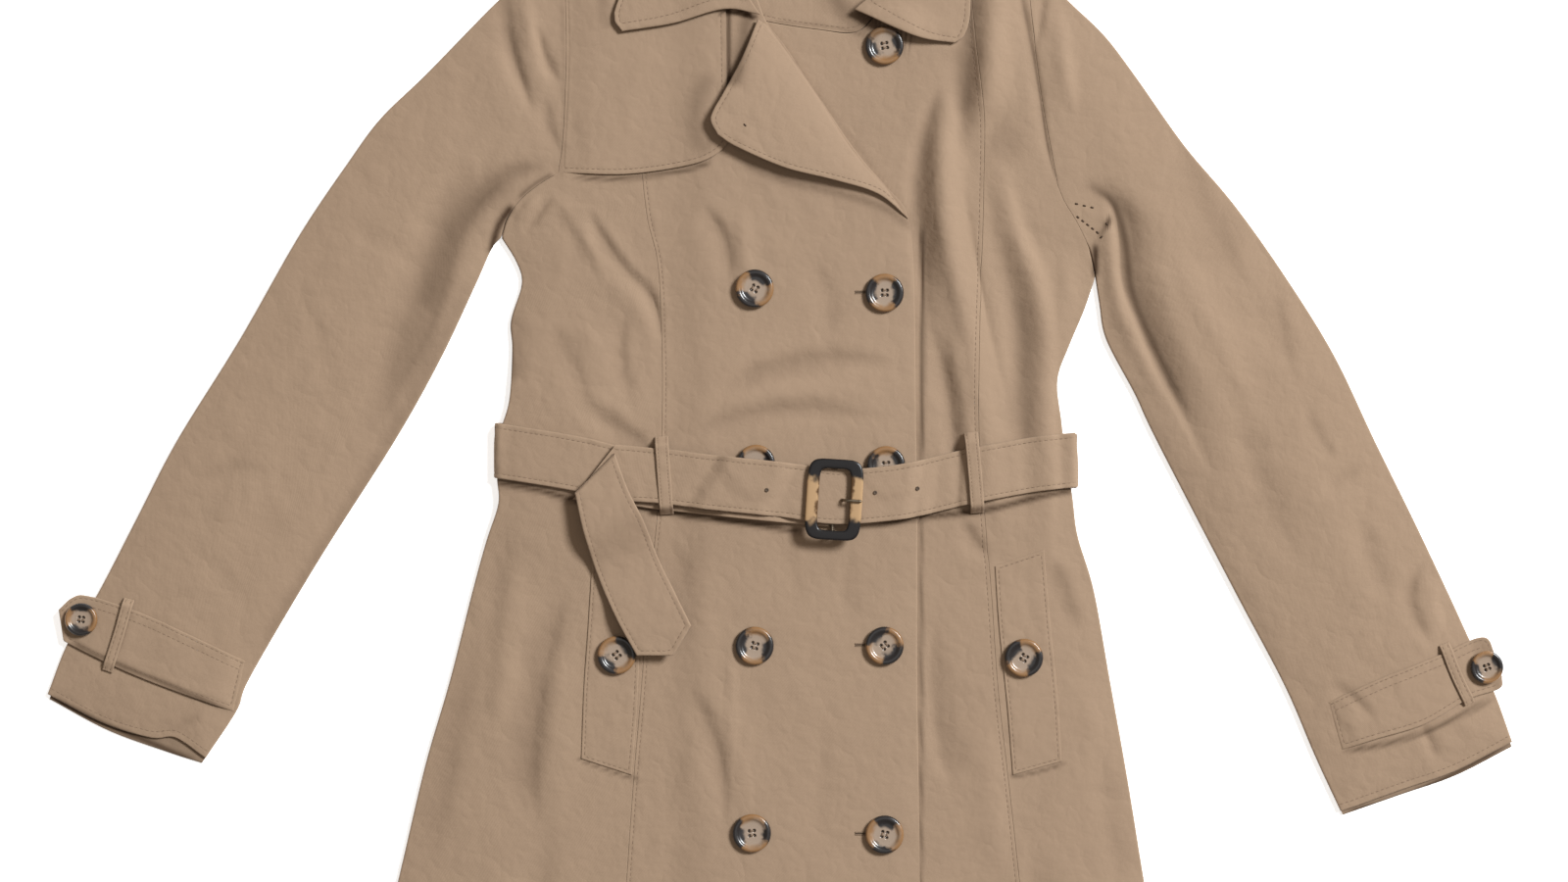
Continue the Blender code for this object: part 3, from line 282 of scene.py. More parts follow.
# fine creases, rows: height, half width on the left and right of its way, points it passes
CREASES = (
    # right armpit and chest
    (-3.2, 3.6, 8, (-144, 224), (-131, 201), (-113, 175), (-93, 152), (-86, 113)),
    (1, 8, 6, (-152, 207), (-133, 176), (-108, 142)),
    (-1.8, 3.6, 8, (-170, 228), (-150, 199), (-131, 168)),
    (-2.6, 5, 9, (-189, 171), (-196, 135), (-193, 106), (-185, 87)),
    (2, 3, 4, (-195, 207), (-186, 220), (-175, 230)),
    (-2, 3, 3.4, (-189, 199), (-178, 215), (-167, 228)),
    (-2.2, 4, 12, (-149, 80), (-124, 65), (-107, 53), (-87, 37)),
    (0.8, 6, 12, (-170, 77), (-141, 60), (-121, 45)),
    (-2.8, 3.4, 10, (-58, 225), (-46, 208), (-38, 189), (-36, 153)),
    (1.2, 9, 4, (-32, 222), (-26, 185), (-25, 142)),
    (-2.8, 7, 10, (-52, 77), (-19, 100), (33, 110), (93, 104)),
    (-2, 6, 8, (-77, 48), (-35, 67), (21, 73), (86, 64)),
    (1.6, 7, 8, (-58, 63), (-5, 84), (67, 86)),
    (-1.5, 5, 10, (-173, 143), (-152, 106), (-139, 68)),
    (-1.4, 4, 8, (-111, 149), (-117, 114), (-107, 71)),
    (0.6, 7, 8, (-162, 175), (-143, 136), (-127, 91)),
    (-1.2, 8, 10, (17, 194), (36, 150), (31, 120)),
    # left front, from the collar to the belt
    (5.6, 12, 9, (129, 316), (123, 296), (118, 266), (118, 230), (123, 194), (131, 158), (139, 122),
        (148, 74), (157, 14), (164, -44)),
    (-4, 8, 6, (118, 313), (111, 296), (103, 266), (99, 230), (102, 194), (106, 155), (111, 114)),
    (3.2, 8, 5, (122, 145), (129, 110), (136, 74), (140, 38), (145, -8)),
    (-2.8, 5, 7, (110, 142), (118, 107), (124, 74), (128, 38), (132, -8)),
    (6.4, 7, 13, (159, 266), (172, 204), (186, 166), (194, 128), (196, 93), (197, 32), (198, -51)),
    (-4, 12, 10, (147, 258), (157, 204), (168, 166), (175, 128), (177, 93), (179, 32), (181, -51)),
    (-1, 2.4, 3, (129, 261), (141, 194), (155, 122), (172, 57)),
    (5, 12, 11, (157, 453), (156, 382), (155, 338), (149, 296), (139, 256)),
    (-4.6, 10, 9, (138, 453), (137, 382), (136, 338), (133, 296), (129, 261)),
    (-1.8, 20, 22, (141, 294), (155, 271), (178, 248)),
    (-2, 3, 5, (162, 453), (175, 382), (183, 345), (190, 302), (195, 266), (204, 233)),
    (1.8, 8, 6, (207, 194), (210, 158), (208, 93)),
    # sleeve heads
    (-4.2, 4, 6, (-208, 438), (-202, 379), (-199, 345), (-190, 315), (-179, 286)),
    (2.2, 4, 8, (-192, 438), (-189, 379), (-183, 349), (-173, 323)),
    (-3, 3.4, 5, (-181, 358), (-173, 332), (-161, 310)),
    (-3, 5, 6, (-170, 250), (-193, 247), (-213, 237), (-231, 218)),
    (-1.6, 4, 7, (-173, 305), (-170, 282), (-162, 260)),
    (-3, 3, 4, (201, 417), (195, 379), (191, 358), (187, 336)),
    (2, 6, 6, (204, 374), (207, 330), (216, 280)),
    # left armpit
    (-6, 13, 3.4, (214, 240), (237, 229), (247, 214), (250, 194), (252, 166), (262, 140), (278, 102),
        (301, 57), (328, 5)),
    (3, 3.6, 7, (234, 220), (241, 204), (242, 179), (249, 145), (265, 110), (288, 63)),
    (3, 24, 16, (273, 201), (283, 158), (306, 107), (339, 48)),
    # right sleeve, down to the cuff
    (-5, 9, 20, (-180, 248), (-212, 233), (-235, 211), (-249, 179), (-261, 136), (-287, 83), (-317, 35)),
    (1.8, 12, 8, (-199, 225), (-218, 194), (-238, 149), (-264, 106)),
    (-0.9, 6, 10, (-260, 175), (-291, 192), (-329, 211)),
    (-0.7, 6, 8, (-357, 158), (-336, 122), (-325, 71)),
    (0.8, 8, 14, (-289, 230), (-336, 158), (-379, 71)),
    (-0.9, 10, 9, (-390, 64), (-411, 14), (-437, -44)),
    (-0.8, 4, 7, (-444, 18), (-401, 30), (-357, 21)),
    (-0.5, 5, 8, (-429, -30), (-406, -51), (-385, -87)),
    (-1.4, 3, 4, (-424, -150), (-437, -158), (-450, -164)),
    # left sleeve, down to the cuff
    (-1.4, 9, 12, (287, 280), (316, 215), (341, 158)),
    (1.8, 14, 9, (288, 194), (314, 136), (355, 57)),
    (-1.4, 10, 12, (327, 86), (355, 14), (384, -44)),
    (-1.5, 4, 8, (363, 165), (368, 132), (378, 91)),
    (-1.2, 4, 7, (384, 77), (396, 51), (409, 32)),
    (-1.2, 5, 5, (394, 6), (410, 22), (430, 30)),
    (-1.3, 7, 10, (420, -1), (435, -37), (446, -73)),
    (-3.2, 4, 7, (472, -34), (463, -63), (468, -83), (479, -107)),
    (2, 4, 6, (482, -44), (478, -70), (488, -98)),
    (-2, 4, 4, (469, -156), (476, -171), (483, -186)),
    (-1.8, 4, 5, (400, -126), (420, -139), (437, -156)),
    # skirt
    (-2.3, 4, 10, (-69, -126), (-54, -153), (-42, -192), (-36, -247)),
    (0.8, 10, 6, (-51, -130), (-32, -174), (-23, -238)),
    (-3.2, 7, 18, (-156, -55), (-169, -99), (-179, -152), (-183, -202), (-176, -238)),
    (2, 12, 8, (-193, -30), (-202, -94), (-209, -174)),
    (-2.6, 5, 10, (197, -34), (208, -60), (221, -96)),
    (-2.2, 4, 8, (132, -6), (141, -21), (154, -38)),
    (-2, 14, 5, (112, -73), (111, -130), (118, -181), (128, -207)),
    (0.8, 3, 3, (-37, -73), (-36, -130), (-37, -202), (-37, -274)),
    (-2, 8, 14, (-224, -87), (-235, -145), (-248, -210), (-258, -274)),
    (1.6, 10, 14, (147, -145), (155, -210), (161, -274)),
    (-0.6, 6, 10, (24, -130), (31, -195), (24, -260)),
    (-2, 12, 9, (233, -159), (242, -224), (252, -296)),
    (-1, 8, 10, (-80, -21), (-69, -58), (-69, -104)),
    (-0.7, 6, 9, (0, -24), (10, -51), (8, -87)),
    (-0.8, 7, 6, (54, -27), (47, -58), (53, -87)),
    (-1.4, 6, 9, (-199, -1), (-205, -44), (-215, -87)),
    # further down, to the hem
    (-3, 12, 18, (-169, -202), (-179, -339), (-192, -447), (-199, -562)),
    (-2.6, 18, 11, (-54, -246), (-58, -354), (-65, -451), (-69, -562)),
    (-2.4, 10, 16, (37, -274), (44, -368), (40, -451), (39, -562)),
    (-3, 16, 10, (180, -217), (195, -346), (204, -447), (211, -562)),
    (-2.4, 10, 14, (255, -274), (266, -368), (276, -447), (283, -562)),
    (-2.2, 9, 14, (-262, -296), (-275, -382), (-287, -447), (-300, -562)),
)

# bar tacks at the left armpit and on the lapel, each a row of stitches between two places
TACKS = (
    ("sleeve", (214, 224), (231, 220)), ("sleeve", (216, 215), (234, 201)),
    ("sleeve", (237, 211), (241, 206)), ("sleeve", (233, 197), (237, 201)),
    ("lapel", (-28, 282), (-24, 278)),
)

# eyelets along the belt's free end
EYELETS = ((-10, 14), (69, 12), (100, 15))

# lines of painted shadow, where cloth turns under cloth and shade falls; rows: share, half width, points
PAINTED_SHADOW_LINES = (
    (0.72, 1.9, (104, 214), (104, 136), (103, 21)),
    (0.5, 1.6, (103, 28), (103, -130), (103, -274), (103, -519)),
    (0.28, 1.3, (175, 382), (184, 338), (191, 298), (197, 260), (206, 231)),
    (1, 3, (-213, 185), (-210, 199), (-205, 211), (-195, 224)),
    (0.45, 1.8, (-193, 227), (-180, 238), (-166, 246)),
    (0.2, 9, (-193, 241), (-222, 224), (-241, 201), (-252, 171), (-260, 143)),
    (1, 2.8, (231, 169), (231, 182), (231, 195)),
    (0.55, 3.4, (237, 211), (241, 207)),
    (0.18, 9, (175, 161), (183, 122), (185, 78), (185, 45)),
    (0.36, 4, (-202, 165), (-200, 129), (-195, 89)),
    (0.38, 3.6, (-36, 258), (-5, 243), (39, 232), (76, 220), (99, 202)),
    (0.65, 1.9, (-157, 243), (-113, 242), (-69, 248), (-48, 255)),
    (0.6, 1.4, (232, 197), (239, 207), (241, 214)),
    (0.5, 3.4, (216, 240), (240, 228), (249, 212), (254, 189), (257, 163), (267, 135), (286, 96), (305, 60)),
    # the corner between flap and lapel, and the lapel's shadow side
    (0.8, 1.9, (-38, 307), (-38, 338), (-38, 372)),
    (0.5, 5.6, (-35, 305), (-28, 338), (-23, 371)),
    (0.75, 1.7, (-48, 362), (-32, 364), (-15, 359)),
    (0.26, 7, (-49, 323), (-61, 296), (-61, 273), (-49, 260)),
    (0.16, 2.2, (-16, 364), (40, 287), (102, 204)),
    # the belt's lower edge on the fronts, and the ends of the welts
    (0.9, 2.8, (-218, 21), (-181, 15), (-156, 8), (-140, 4)),
    (0.85, 2.6, (-113, 4), (-69, -4), (-19, -11), (24, -18)),
    (0.85, 2.6, (57, -14), (103, -6), (149, -1), (190, 9), (230, 17)),
    (0.22, 6, (-129, 379), (-130, 365), (-124, 351)),
    (0.5, 1.5, (-153, -181), (-127, -191), (-100, -200)),
    (0.5, 1.5, (165, -197), (187, -193), (210, -186)),
    # cuffs: the turned hems, the straps' lower edges and the sleeves' inner seams
    (0.8, 2.6, (-542, -135), (-501, -156), (-465, -171), (-422, -189)),
    (0.8, 1.8, (413, -223), (449, -214), (492, -196), (539, -171)),
    (0.6, 2.2, (-523, -96), (-494, -110), (-455, -126), (-396, -151)),
    (0.6, 2, (407, -179), (449, -171), (485, -158), (528, -136)),
    (0.16, 9, (126, 342), (135, 316), (135, 287)),
    (0.4, 2, (486, -106), (494, -123), (502, -140)),
    (0.35, 2, (-477, -73), (-481, -91), (-487, -107)),
    (0.2, 6, (-219, 185), (-257, 106), (-301, 27), (-345, -44), (-390, -120)),
    (0.12, 5, (247, 114), (291, 28), (335, -51), (375, -130)),
    # neck, under the left leaf
    (0.45, 8, (37, 384), (44, 368), (60, 354), (75, 348)),
    (0.62, 4.6, (51, 368), (72, 356), (85, 349), (100, 343)),
    (0.25, 1.2, (-10, 358), (17, 355), (47, 351), (63, 345)),
    (0.18, 2, (-160, 382), (-159, 330), (-159, 280), (-162, 235)),
)

# buttons, rows: name, (x, y), way in which its dark patches lie, in degrees
FRONT_BUTTONS = (
    ("top_left", (76, 339), 10),
    ("chest_right", (-19, 161), 65),
    ("chest_left", (76, 158), 0),
    ("waist_right", (-18, 33), 0),
    ("waist_left", (77, 32), 5),
    ("hip_right", (-19, -100), -15),
    ("hip_left", (76, -100), -50),
    ("skirt_right", (-21, -237), 5),
    ("skirt_left", (76, -238), 80),
)
POCKET_BUTTONS = (("pocket_right", (-120, -107), 40), ("pocket_left", (178, -109), -30))
CUFF_BUTTONS = (("cuff_right", (-512, -81), 85), ("cuff_left", (517, -116), 20))

# a button's half section, rows: share of its radius, height; its face is level at the dish
DISH_HEIGHT = 2.42
BUTTON_SECTION = (
    (0, 2.4), (0.3, DISH_HEIGHT), (0.55, 2.55), (0.66, 2.95), (0.74, 3.75), (0.8, 4.12),
    (0.86, BUTTON_HEIGHT), (0.92, 4.05), (0.97, 3.5), (1, 2.5), (0.985, 1.6), (0.9, 0.5), (0.8, 0),
    (0.3, 0), (0, 0))


# ---- curves
def smooth(points: tuple | list | Array) -> Array:
    """Dense Catmull-Rom curve through the points."""
    knots = np.asarray(points, float)
    knots = np.vstack([2 * knots[0] - knots[1], knots, 2 * knots[-1] - knots[-2]])
    t = np.linspace(0, 1, SPAN_STEPS, endpoint=False)[None, :, None]
    a, b, c, d = (knots[i:len(knots) - 3 + i, None] for i in range(4))
    spans = 0.5 * (2 * b + (c - a) * t + (2 * a - 5 * b + 4 * c - d) * t**2
                   + (3 * b - a - 3 * c + d) * t**3)
    return np.vstack([spans.reshape(-1, knots.shape[1]), knots[-2:-1]])


def join(*lines: Array) -> Array:
    """One polyline from several that follow each other."""
    return np.vstack([lines[0]] + [line[1:] for line in lines[1:]])


def straight(start: Array, end: Array, count: int = 24) -> Array:
    """Even polyline between two points."""
    share = np.linspace(0, 1, count)[:, None]
    return np.asarray(start, float) * (1 - share) + np.asarray(end, float) * share


def shares_of(line: Array, axis: int | None = None) -> Array:
    """Share of a polyline at each of its points, by length or by one coordinate."""
    if axis is None:
        steps = np.linalg.norm(np.diff(line, axis=0), axis=1)
    else:
        steps = np.maximum(np.diff(line[:, axis]) * np.sign(line[-1, axis] - line[0, axis]), 1e-6)
    length = np.concatenate([[0.0], np.cumsum(steps)])
    return length / length[-1]


def pick(line: Array, own: Array, shares: Array) -> Array:
    """Points of a polyline at shares of any shape, given the share of each of its own points."""
    return np.stack([np.interp(shares, own, column) for column in line.T], axis=-1)


def cross_at(points: tuple, value: Array, axis: int) -> Array:
    """The other coordinate of a smooth edge where its coordinate `axis` has that value."""
    dense = smooth(points)
    dense = dense[np.argsort(dense[:, axis])]
    return np.interp(value, dense[:, axis], dense[:, 1 - axis])


def ends_of(low: Array, high: Array) -> tuple[Array, Array]:
    """Straight edges that join two polylines at their starts and at their ends."""
    return straight(low[0], high[0]), straight(low[-1], high[-1])


def beside(line: Array, distance: float) -> Array:
    """A polyline moved sideways, to the left of its direction."""
    way = unit(np.gradient(line[:, :2], axis=0))
    moved = line.copy()
    moved[:, :2] += distance * np.column_stack([-way[:, 1], way[:, 0]])
    return moved


def unit(ways: Array) -> Array:
    """Vectors brought to length 1."""
    return ways / np.maximum(np.linalg.norm(ways, axis=-1, keepdims=True), 1e-9)


def angles(count: int) -> Array:
    """Angles evenly round a circle."""
    return np.linspace(0, 2 * np.pi, count, endpoint=False)


def bell(distance: Array, width: float | Array) -> Array:
    """exp(-(distance / half width)^2)."""
    return np.exp(-(distance / width)**2)


def ease(share: Array) -> Array:
    """Smooth step of a share from 0 to 1."""
    share = np.clip(share, 0.0, 1.0)
    return share**2 * (3 - 2 * share)


def step(value: Array, start: float, end: float) -> Array:
    """Smooth step of a value: 0 before start, 1 past end."""
    return ease((value - start) / (end - start))


def line_gap(x: Array, y: Array, line: Array) -> tuple[Array, Array, Array]:
    """Nearest point of a polyline to each place.

    Args:
        x: places' x.
        y: places' y, of the same shape.
        line: points (x, y) of the polyline.

    Returns:
        Distance, share of the line at the nearest point, and +1 on the line's left or -1.
    """
    start, way = line[:-1, :2], np.diff(line[:, :2], axis=0)
    square = np.sum(way**2, axis=1)
    out = [np.empty(np.size(x)) for _ in range(3)]
    flat_x, flat_y = np.ravel(x), np.ravel(y)
    for first in range(0, len(flat_x), CHUNK):
        part = slice(first, first + CHUNK)
        px = flat_x[part, None] - start[:, 0]
        py = flat_y[part, None] - start[:, 1]
        share = np.clip((px * way[:, 0] + py * way[:, 1]) / square, 0.0, 1.0)
        gap = (px - share * way[:, 0])**2 + (py - share * way[:, 1])**2
        near = np.argmin(gap, axis=1)
        row = np.arange(len(near))
        out[0][part] = np.sqrt(gap[row, near])
        out[1][part] = (near + share[row, near]) / len(start)
        turn = way[near, 0] * py[row, near] - way[near, 1] * px[row, near]
        out[2][part] = np.where(turn >= 0, 1.0, -1.0)
    return tuple(values.reshape(np.shape(x)) for values in out)


# ---- the ground that cloth lies on
@dataclass(frozen=True)
class Crease:
    """A ridge (+) or trough (-) along a curve, unequal on its two sides."""
    line: Array
    height: float
    left: float
    right: float

    def add(self, x: Array, y: Array, height: Array) -> None:
        """Adds the crease to heights in place, as far as 2.6 times its wider half width.

        Height = own height x exp(-(distance / half width)^2) x a smooth rise over a third of
        the line from both its ends, where the crease narrows too.
        """
        reach = 2.6 * max(self.left, self.right)
        low, high = self.line.min(axis=0) - reach, self.line.max(axis=0) + reach
        near = (x > low[0]) & (x < high[0]) & (y > low[1]) & (y < high[1])
        if not near.any():
            return
        gap, share, side = line_gap(x[near], y[near], self.line)
        fade = ease(3 * np.minimum(share, 1 - share))
        width = np.where(side > 0, self.left, self.right) * (0.5 + 0.5 * fade)
        height[near] += self.height * bell(gap, width) * fade


@dataclass(frozen=True)
class Wrinkles:
    """Small seeded creases all over; past `sleeve` they lean as the sleeves do.

    Pairs are the limits between which a place, half length, height or half width is drawn.
    """
    count: int = 150
    x: tuple = (-500, 500)
    y: tuple = (-430, 400)
    sleeve: tuple = (210, -230)
    sleeve_lean: float = 0.62
    body_lean: float = 0.08
    lean_spread: float = 0.45
    half_length: tuple = (14, 58)
    bend_spread: float = 0.16
    height: tuple = (0.12, 0.45)
    width: tuple = (3.0, 9.0)

    def scatter(self) -> list[Crease]:
        """Draws them one by one: place, way, length, bend, height and widths."""
        rng = np.random.default_rng(SEED)
        made = []
        for _ in range(self.count):
            x, y = rng.uniform(*self.x), rng.uniform(*self.y)
            on_sleeve = abs(x) > self.sleeve[0] and y > self.sleeve[1]
            lean = (self.sleeve_lean if on_sleeve else self.body_lean) * np.sign(x)
            angle = rng.normal(-math.pi / 2 + lean, self.lean_spread)
            way = np.array([math.cos(angle), math.sin(angle)]) * rng.uniform(*self.half_length)
            bend = np.array([-way[1], way[0]]) * rng.normal(0, self.bend_spread)
            middle = np.array([x, y])
            line = smooth((middle - way, middle + bend, middle + way))[::4]
            height = rng.choice([-1.0, 1.0]) * rng.uniform(*self.height)
            made.append(Crease(line, height, *rng.uniform(*self.width, 2)))
        return made


class Ground:
    """Heights of the layers that lie on each other, and the creases in them."""

    def __init__(self) -> None:
        """Gathers the coat's outline and its creases."""
        self.outline = [smooth(edge)[::3] for edge in (
            SIDE_RIGHT, SIDE_LEFT, SHOULDERS, SLEEVE_RIGHT_OUTER, SLEEVE_RIGHT_INNER, CUFF_RIGHT,
            SLEEVE_LEFT_OUTER, SLEEVE_LEFT_INNER, CUFF_LEFT,
            (SIDE_RIGHT[-1], (0, HEM_Y), SIDE_LEFT[-1]))]
        self.edge = smooth(FRONT_EDGE + ROLL_LINE[1:])[::3]
        self.folds = [Crease(smooth(row[:3])[::4], row[3] * FOLD_SHARE, row[4], row[4]) for row in FOLDS]
        self.folds += [Crease(smooth(row[3:])[::4], *row[:3]) for row in CREASES]
        self.folds += Wrinkles().scatter()

    def near(self, x: Array, y: Array) -> Array:
        """0 at the coat's outline, 1 well inside it."""
        gap = np.min([line_gap(x, y, edge)[0] for edge in self.outline], axis=0)
        return 1 - np.exp(-gap / PUFF_REACH)

    def relief(self, x: Array, y: Array) -> Array:
        """Sum of the creases, with a faint swell: a sum of long sine waves."""
        total = np.zeros(np.shape(x))
        for crease in self.folds:
            crease.add(x, y, total)
        swell = (np.sin(x / 17.0 + 0.9 * np.sin(y / 41.0)) * np.sin(y / 23.0 + 1.3 * np.sin(x / 37.0))
                 + 0.6 * np.sin((x - y) / 11.0 + np.sin((x + y) / 29.0)))
        return total + SWELL * swell

    def lift(self, x: Array, y: Array) -> Array:
        """How far the upper layer stands off the lower one, never less than nothing."""
        near = self.near(x, y)
        height = PUFF * near + self.relief(x, y) * near**0.7
        return LIFT_SOFT * np.logaddexp(height / LIFT_SOFT, 0.0)

    @staticmethod
    def belt_rise(y: Array, slope: float = RISE_SLOPE) -> Array:
        """How far a layer stands off the surface over the belt, coming down over `slope`."""
        return RISE * (1 - step(np.abs(y - WAIST_Y), RISE_FLAT, RISE_FLAT + slope))

    @staticmethod
    def floor(x: Array, _: Array) -> Array:
        """The surface that the coat lies on."""
        return 0 * x

    def back(self, x: Array, y: Array) -> Array:
        """Underside of the back panel."""
        return self.belt_rise(y) + 0 * x

    def body(self, x: Array, y: Array) -> Array:
        """Underside of the front layer that lies on the back."""
        return PANEL + EDGE_GAP + self.belt_rise(y, FRONT_SLOPE) + self.lift(x, y)

    def sleeve(self, x: Array, y: Array) -> Array:
        """Underside of a sleeve's upper panel."""
        return PANEL + EDGE_GAP + self.lift(x, y)

    @staticmethod
    def over_step(x: Array) -> Array:
        """1 where the over front lies on the under front, 0 beside its hidden edge."""
        return step(x, UNDER_EDGE_X + OVER_STEP[0], UNDER_EDGE_X + OVER_STEP[1])

    def pressed(self, x: Array, y: Array) -> Array:
        """1 at the pressed edge of the over front and its lapel, 0 away from it."""
        return np.exp(-line_gap(x, y, self.edge)[0] / PRESSED_REACH)

    def over(self, x: Array, y: Array) -> Array:
        """Underside of the over front, pressed flat along its edge."""
        return self.body(x, y) + (STACK - PRESSED * self.pressed(x, y)) * self.over_step(x)

    def front_top(self, x: Array, y: Array) -> Array:
        """Top of the front as a piece that crosses it meets it, bridging the front edge."""
        edge = cross_at(FRONT_EDGE, y, 1)
        on_over = self.over_step(x) * (1 - step(x - edge, *FRONT_BRIDGE))
        return self.body(x, y) + PANEL + STACK * on_over

    @staticmethod
    def sink(gap: Array, depth: float, reach: float) -> Array:
        """How far trim goes down at the seam that holds it: by its wall and that depth."""
        return (TRIM + depth) * (1 - step(gap, 0.0, reach))

    def flap(self, x: Array, y: Array) -> Array:
        """Underside of the gun flap, which sinks into the armhole seam at its left."""
        gap = line_gap(x, y, smooth(FLAP_LEFT))[0]
        return self.over(x, y) + PANEL + LAY_GAP - self.sink(gap, *FLAP_SINK)

    def lapel(self, x: Array, y: Array) -> Array:
        """Underside of the lapel: close at its roll line, standing off the flap at its tip."""
        gap = line_gap(x, y, smooth(LAPEL_ROLL))[0]
        lift = (LAPEL_LIFT * (1 - np.exp(-gap / LAPEL_REACH))
                - LAPEL_PRESS * np.exp(-gap / LAPEL_PRESS_REACH))
        return self.over(x, y) + PANEL + LAY_GAP + lift

    def collar(self, x: Array, y: Array) -> Array:
        """What the collar's leaves lie on, and nothing past the shoulders."""
        right = self.flap(x, y) + TRIM + LAY_GAP + LEAF_LIFT
        left = self.body(x, y) + PANEL + LAY_GAP + LEAF_LIFT + over_button(
            x, y, FRONT_BUTTONS[0][1], COLLAR_ROOM, COLLAR_SLOPE)
        inside = 1 - step(y - cross_at(SHOULDERS, x, 0), *COLLAR_EASE)
        return np.where(x < COLLAR_MIDDLE_X, right, left) * inside

    def strap(self, x: Array, y: Array) -> Array:
        """Underside of a cuff strap, which sinks into the sleeve at its sewn end."""
        gaps = [line_gap(x, y, straight(top, bottom))[0] for top, bottom in (
            (STRAP_RIGHT_TOP[-1], STRAP_RIGHT_BOTTOM[-1]), (STRAP_LEFT_TOP[0], STRAP_LEFT_BOTTOM[0]))]
        return self.sleeve(x, y) + PANEL + LAY_GAP - self.sink(np.minimum(*gaps), *STRAP_SINK)

    def welt(self, x: Array, y: Array) -> Array:
        """Underside of a pocket welt."""
        return self.body(x, y) + PANEL + WELT_LAY

    @staticmethod
    def waist_buttons(x: Array, y: Array) -> Array:
        """Rise of the belt over the two buttons it half covers."""
        return np.maximum(*(over_button(x, y, row[1], BELT_ROOM, BELT_SLOPE)
                            for row in FRONT_BUTTONS[3:5]))

    def buckle_end(self, x: Array, y: Array) -> Array:
        """Underside of the belt end that holds the buckle."""
        return self.front_top(x, y) + BELT_LAY + self.waist_buttons(x, y)

    def free_end(self, x: Array, y: Array) -> Array:
        """Underside of the free end: on the buckle end, then on the front past the buckle."""
        doubled = 1 - step(x, BUCKLE_CENTRE[0] + FREE_DROP[0], BUCKLE_CENTRE[0] + FREE_DROP[1])
        rise = self.waist_buttons(x, y)
        upper = rise * (x < BUCKLE_CENTRE[0]) + BELT + BELT_GAP
        return self.front_top(x, y) + BELT_LAY + np.maximum(rise, upper * doubled)


def over_button(x: Array, y: Array, centre: tuple, room: float, slope: float) -> Array:
    """A round rise that clears a front button by its height and some room."""
    clear = BUTTON_RADIUS + DISC_MARGIN
    gap = np.hypot(x - centre[0], y - centre[1])
    return (BUTTON_HEIGHT + room) * (1 - step(gap, clear, clear + slope))


GROUND = Ground()


# ---- shaders
class Value:
    """A shader socket that sums can be written with; each operator adds a Math node."""

    def __init__(self, graph: "Graph", socket: bpy.types.NodeSocket) -> None:
        """Keeps the socket and the graph it belongs to."""
        self.graph, self.socket = graph, socket

    def __add__(self, other: "Value | float") -> "Value":
        """Sum."""
        return self.graph.math("ADD", self, other)

    def __sub__(self, other: "Value | float") -> "Value":
        """Difference."""
        return self.graph.math("SUBTRACT", self, other)

    def __rsub__(self, other: "Value | float") -> "Value":
        """Difference from a number."""
        return self.graph.math("SUBTRACT", other, self)

    def __mul__(self, other: "Value | float") -> "Value":
        """Product."""
        return self.graph.math("MULTIPLY", self, other)

    __radd__ = __add__


class Graph:
    """One material's node tree around its Principled BSDF."""

    def __init__(self, name: str) -> None:
        """Starts the material."""
        self.material = bpy.data.materials.new(name)
        self.material.use_nodes = True
        self.tree = self.material.node_tree
        self.shader = self.tree.nodes["Principled BSDF"]

    def plug(self, socket: bpy.types.NodeSocket, value: "Value | float | tuple") -> None:
        """Links a value to a socket, or sets a constant on it."""
        if isinstance(value, Value):
            self.tree.links.new(value.socket, socket)
        else:
            socket.default_value = value

    def add(self, kind: str, settings: dict | None = None, inputs: dict | None = None,
            output: int | str = 0) -> Value:
        """Adds a node.

        Args:
            kind: the node's type.
            settings: its properties, set first.
            inputs: values or links for its sockets, by name or index.
            output: the socket to return.

        Returns:
            The chosen output.
        """
        node = self.tree.nodes.new(kind)
        for key, value in (settings or {}).items():
            setattr(node, key, value)
        for key, value in (inputs or {}).items():
            self.plug(node.inputs[key], value)
        return Value(self, node.outputs[output])

    def math(self, operation: str, *terms: "Value | float") -> Value:
        """Math node over up to three terms."""
        return self.add("ShaderNodeMath", {"operation": operation}, dict(enumerate(terms)))

    def size(self, value: Value) -> Value:
        """Absolute value."""
        return self.math("ABSOLUTE", value)

    def step(self, value: Value, low: float, high: float) -> Value:
        """Smooth step of a value between two limits."""
        return self.add("ShaderNodeMapRange", {"interpolation_type": "SMOOTHSTEP"},
                        {"Value": value, "From Min": low, "From Max": high})

    def blend(self, share: "Value | float", first: "Value | tuple", second: "Value | tuple") -> Value:
        """Mix node between two colours."""
        return self.add("ShaderNodeMix", {"data_type": "RGBA"}, {0: share, 6: first, 7: second}, 2)

    def body(self) -> Value:
        """Place in the object's own axes."""
        return self.add("ShaderNodeTexCoord", output="Object")

    def map(self, name: str) -> Value:
        """Place in one of the piece's own maps."""
        return self.add("ShaderNodeUVMap", {"uv_map": name})

    def shade(self) -> Value:
        """Painted shade, with a faint painted highlight, kept on the mesh."""
        return self.add("ShaderNodeAttribute", {"attribute_name": "shade"}, output="Fac")

    def noise(self, place: Value, scale: float, detail: float = 2.0) -> Value:
        """Noise texture at a place."""
        return self.add("ShaderNodeTexNoise", None, {"Vector": place, "Scale": scale, "Detail": detail})

    def split(self, place: Value) -> tuple[Value, Value, Value]:
        """The three coordinates of a vector."""
        node = self.tree.nodes.new("ShaderNodeSeparateXYZ")
        self.plug(node.inputs[0], place)
        return tuple(Value(self, socket) for socket in node.outputs)

    def finish(self, **inputs: "Value | float | tuple") -> bpy.types.Material:
        """Sets the shader's sockets, named with underscores for spaces."""
        for key, value in inputs.items():
            self.plug(self.shader.inputs[key.replace("_", " ")], value)
        return self.material


BLACK = (0.0, 0.0, 0.0, 1.0)


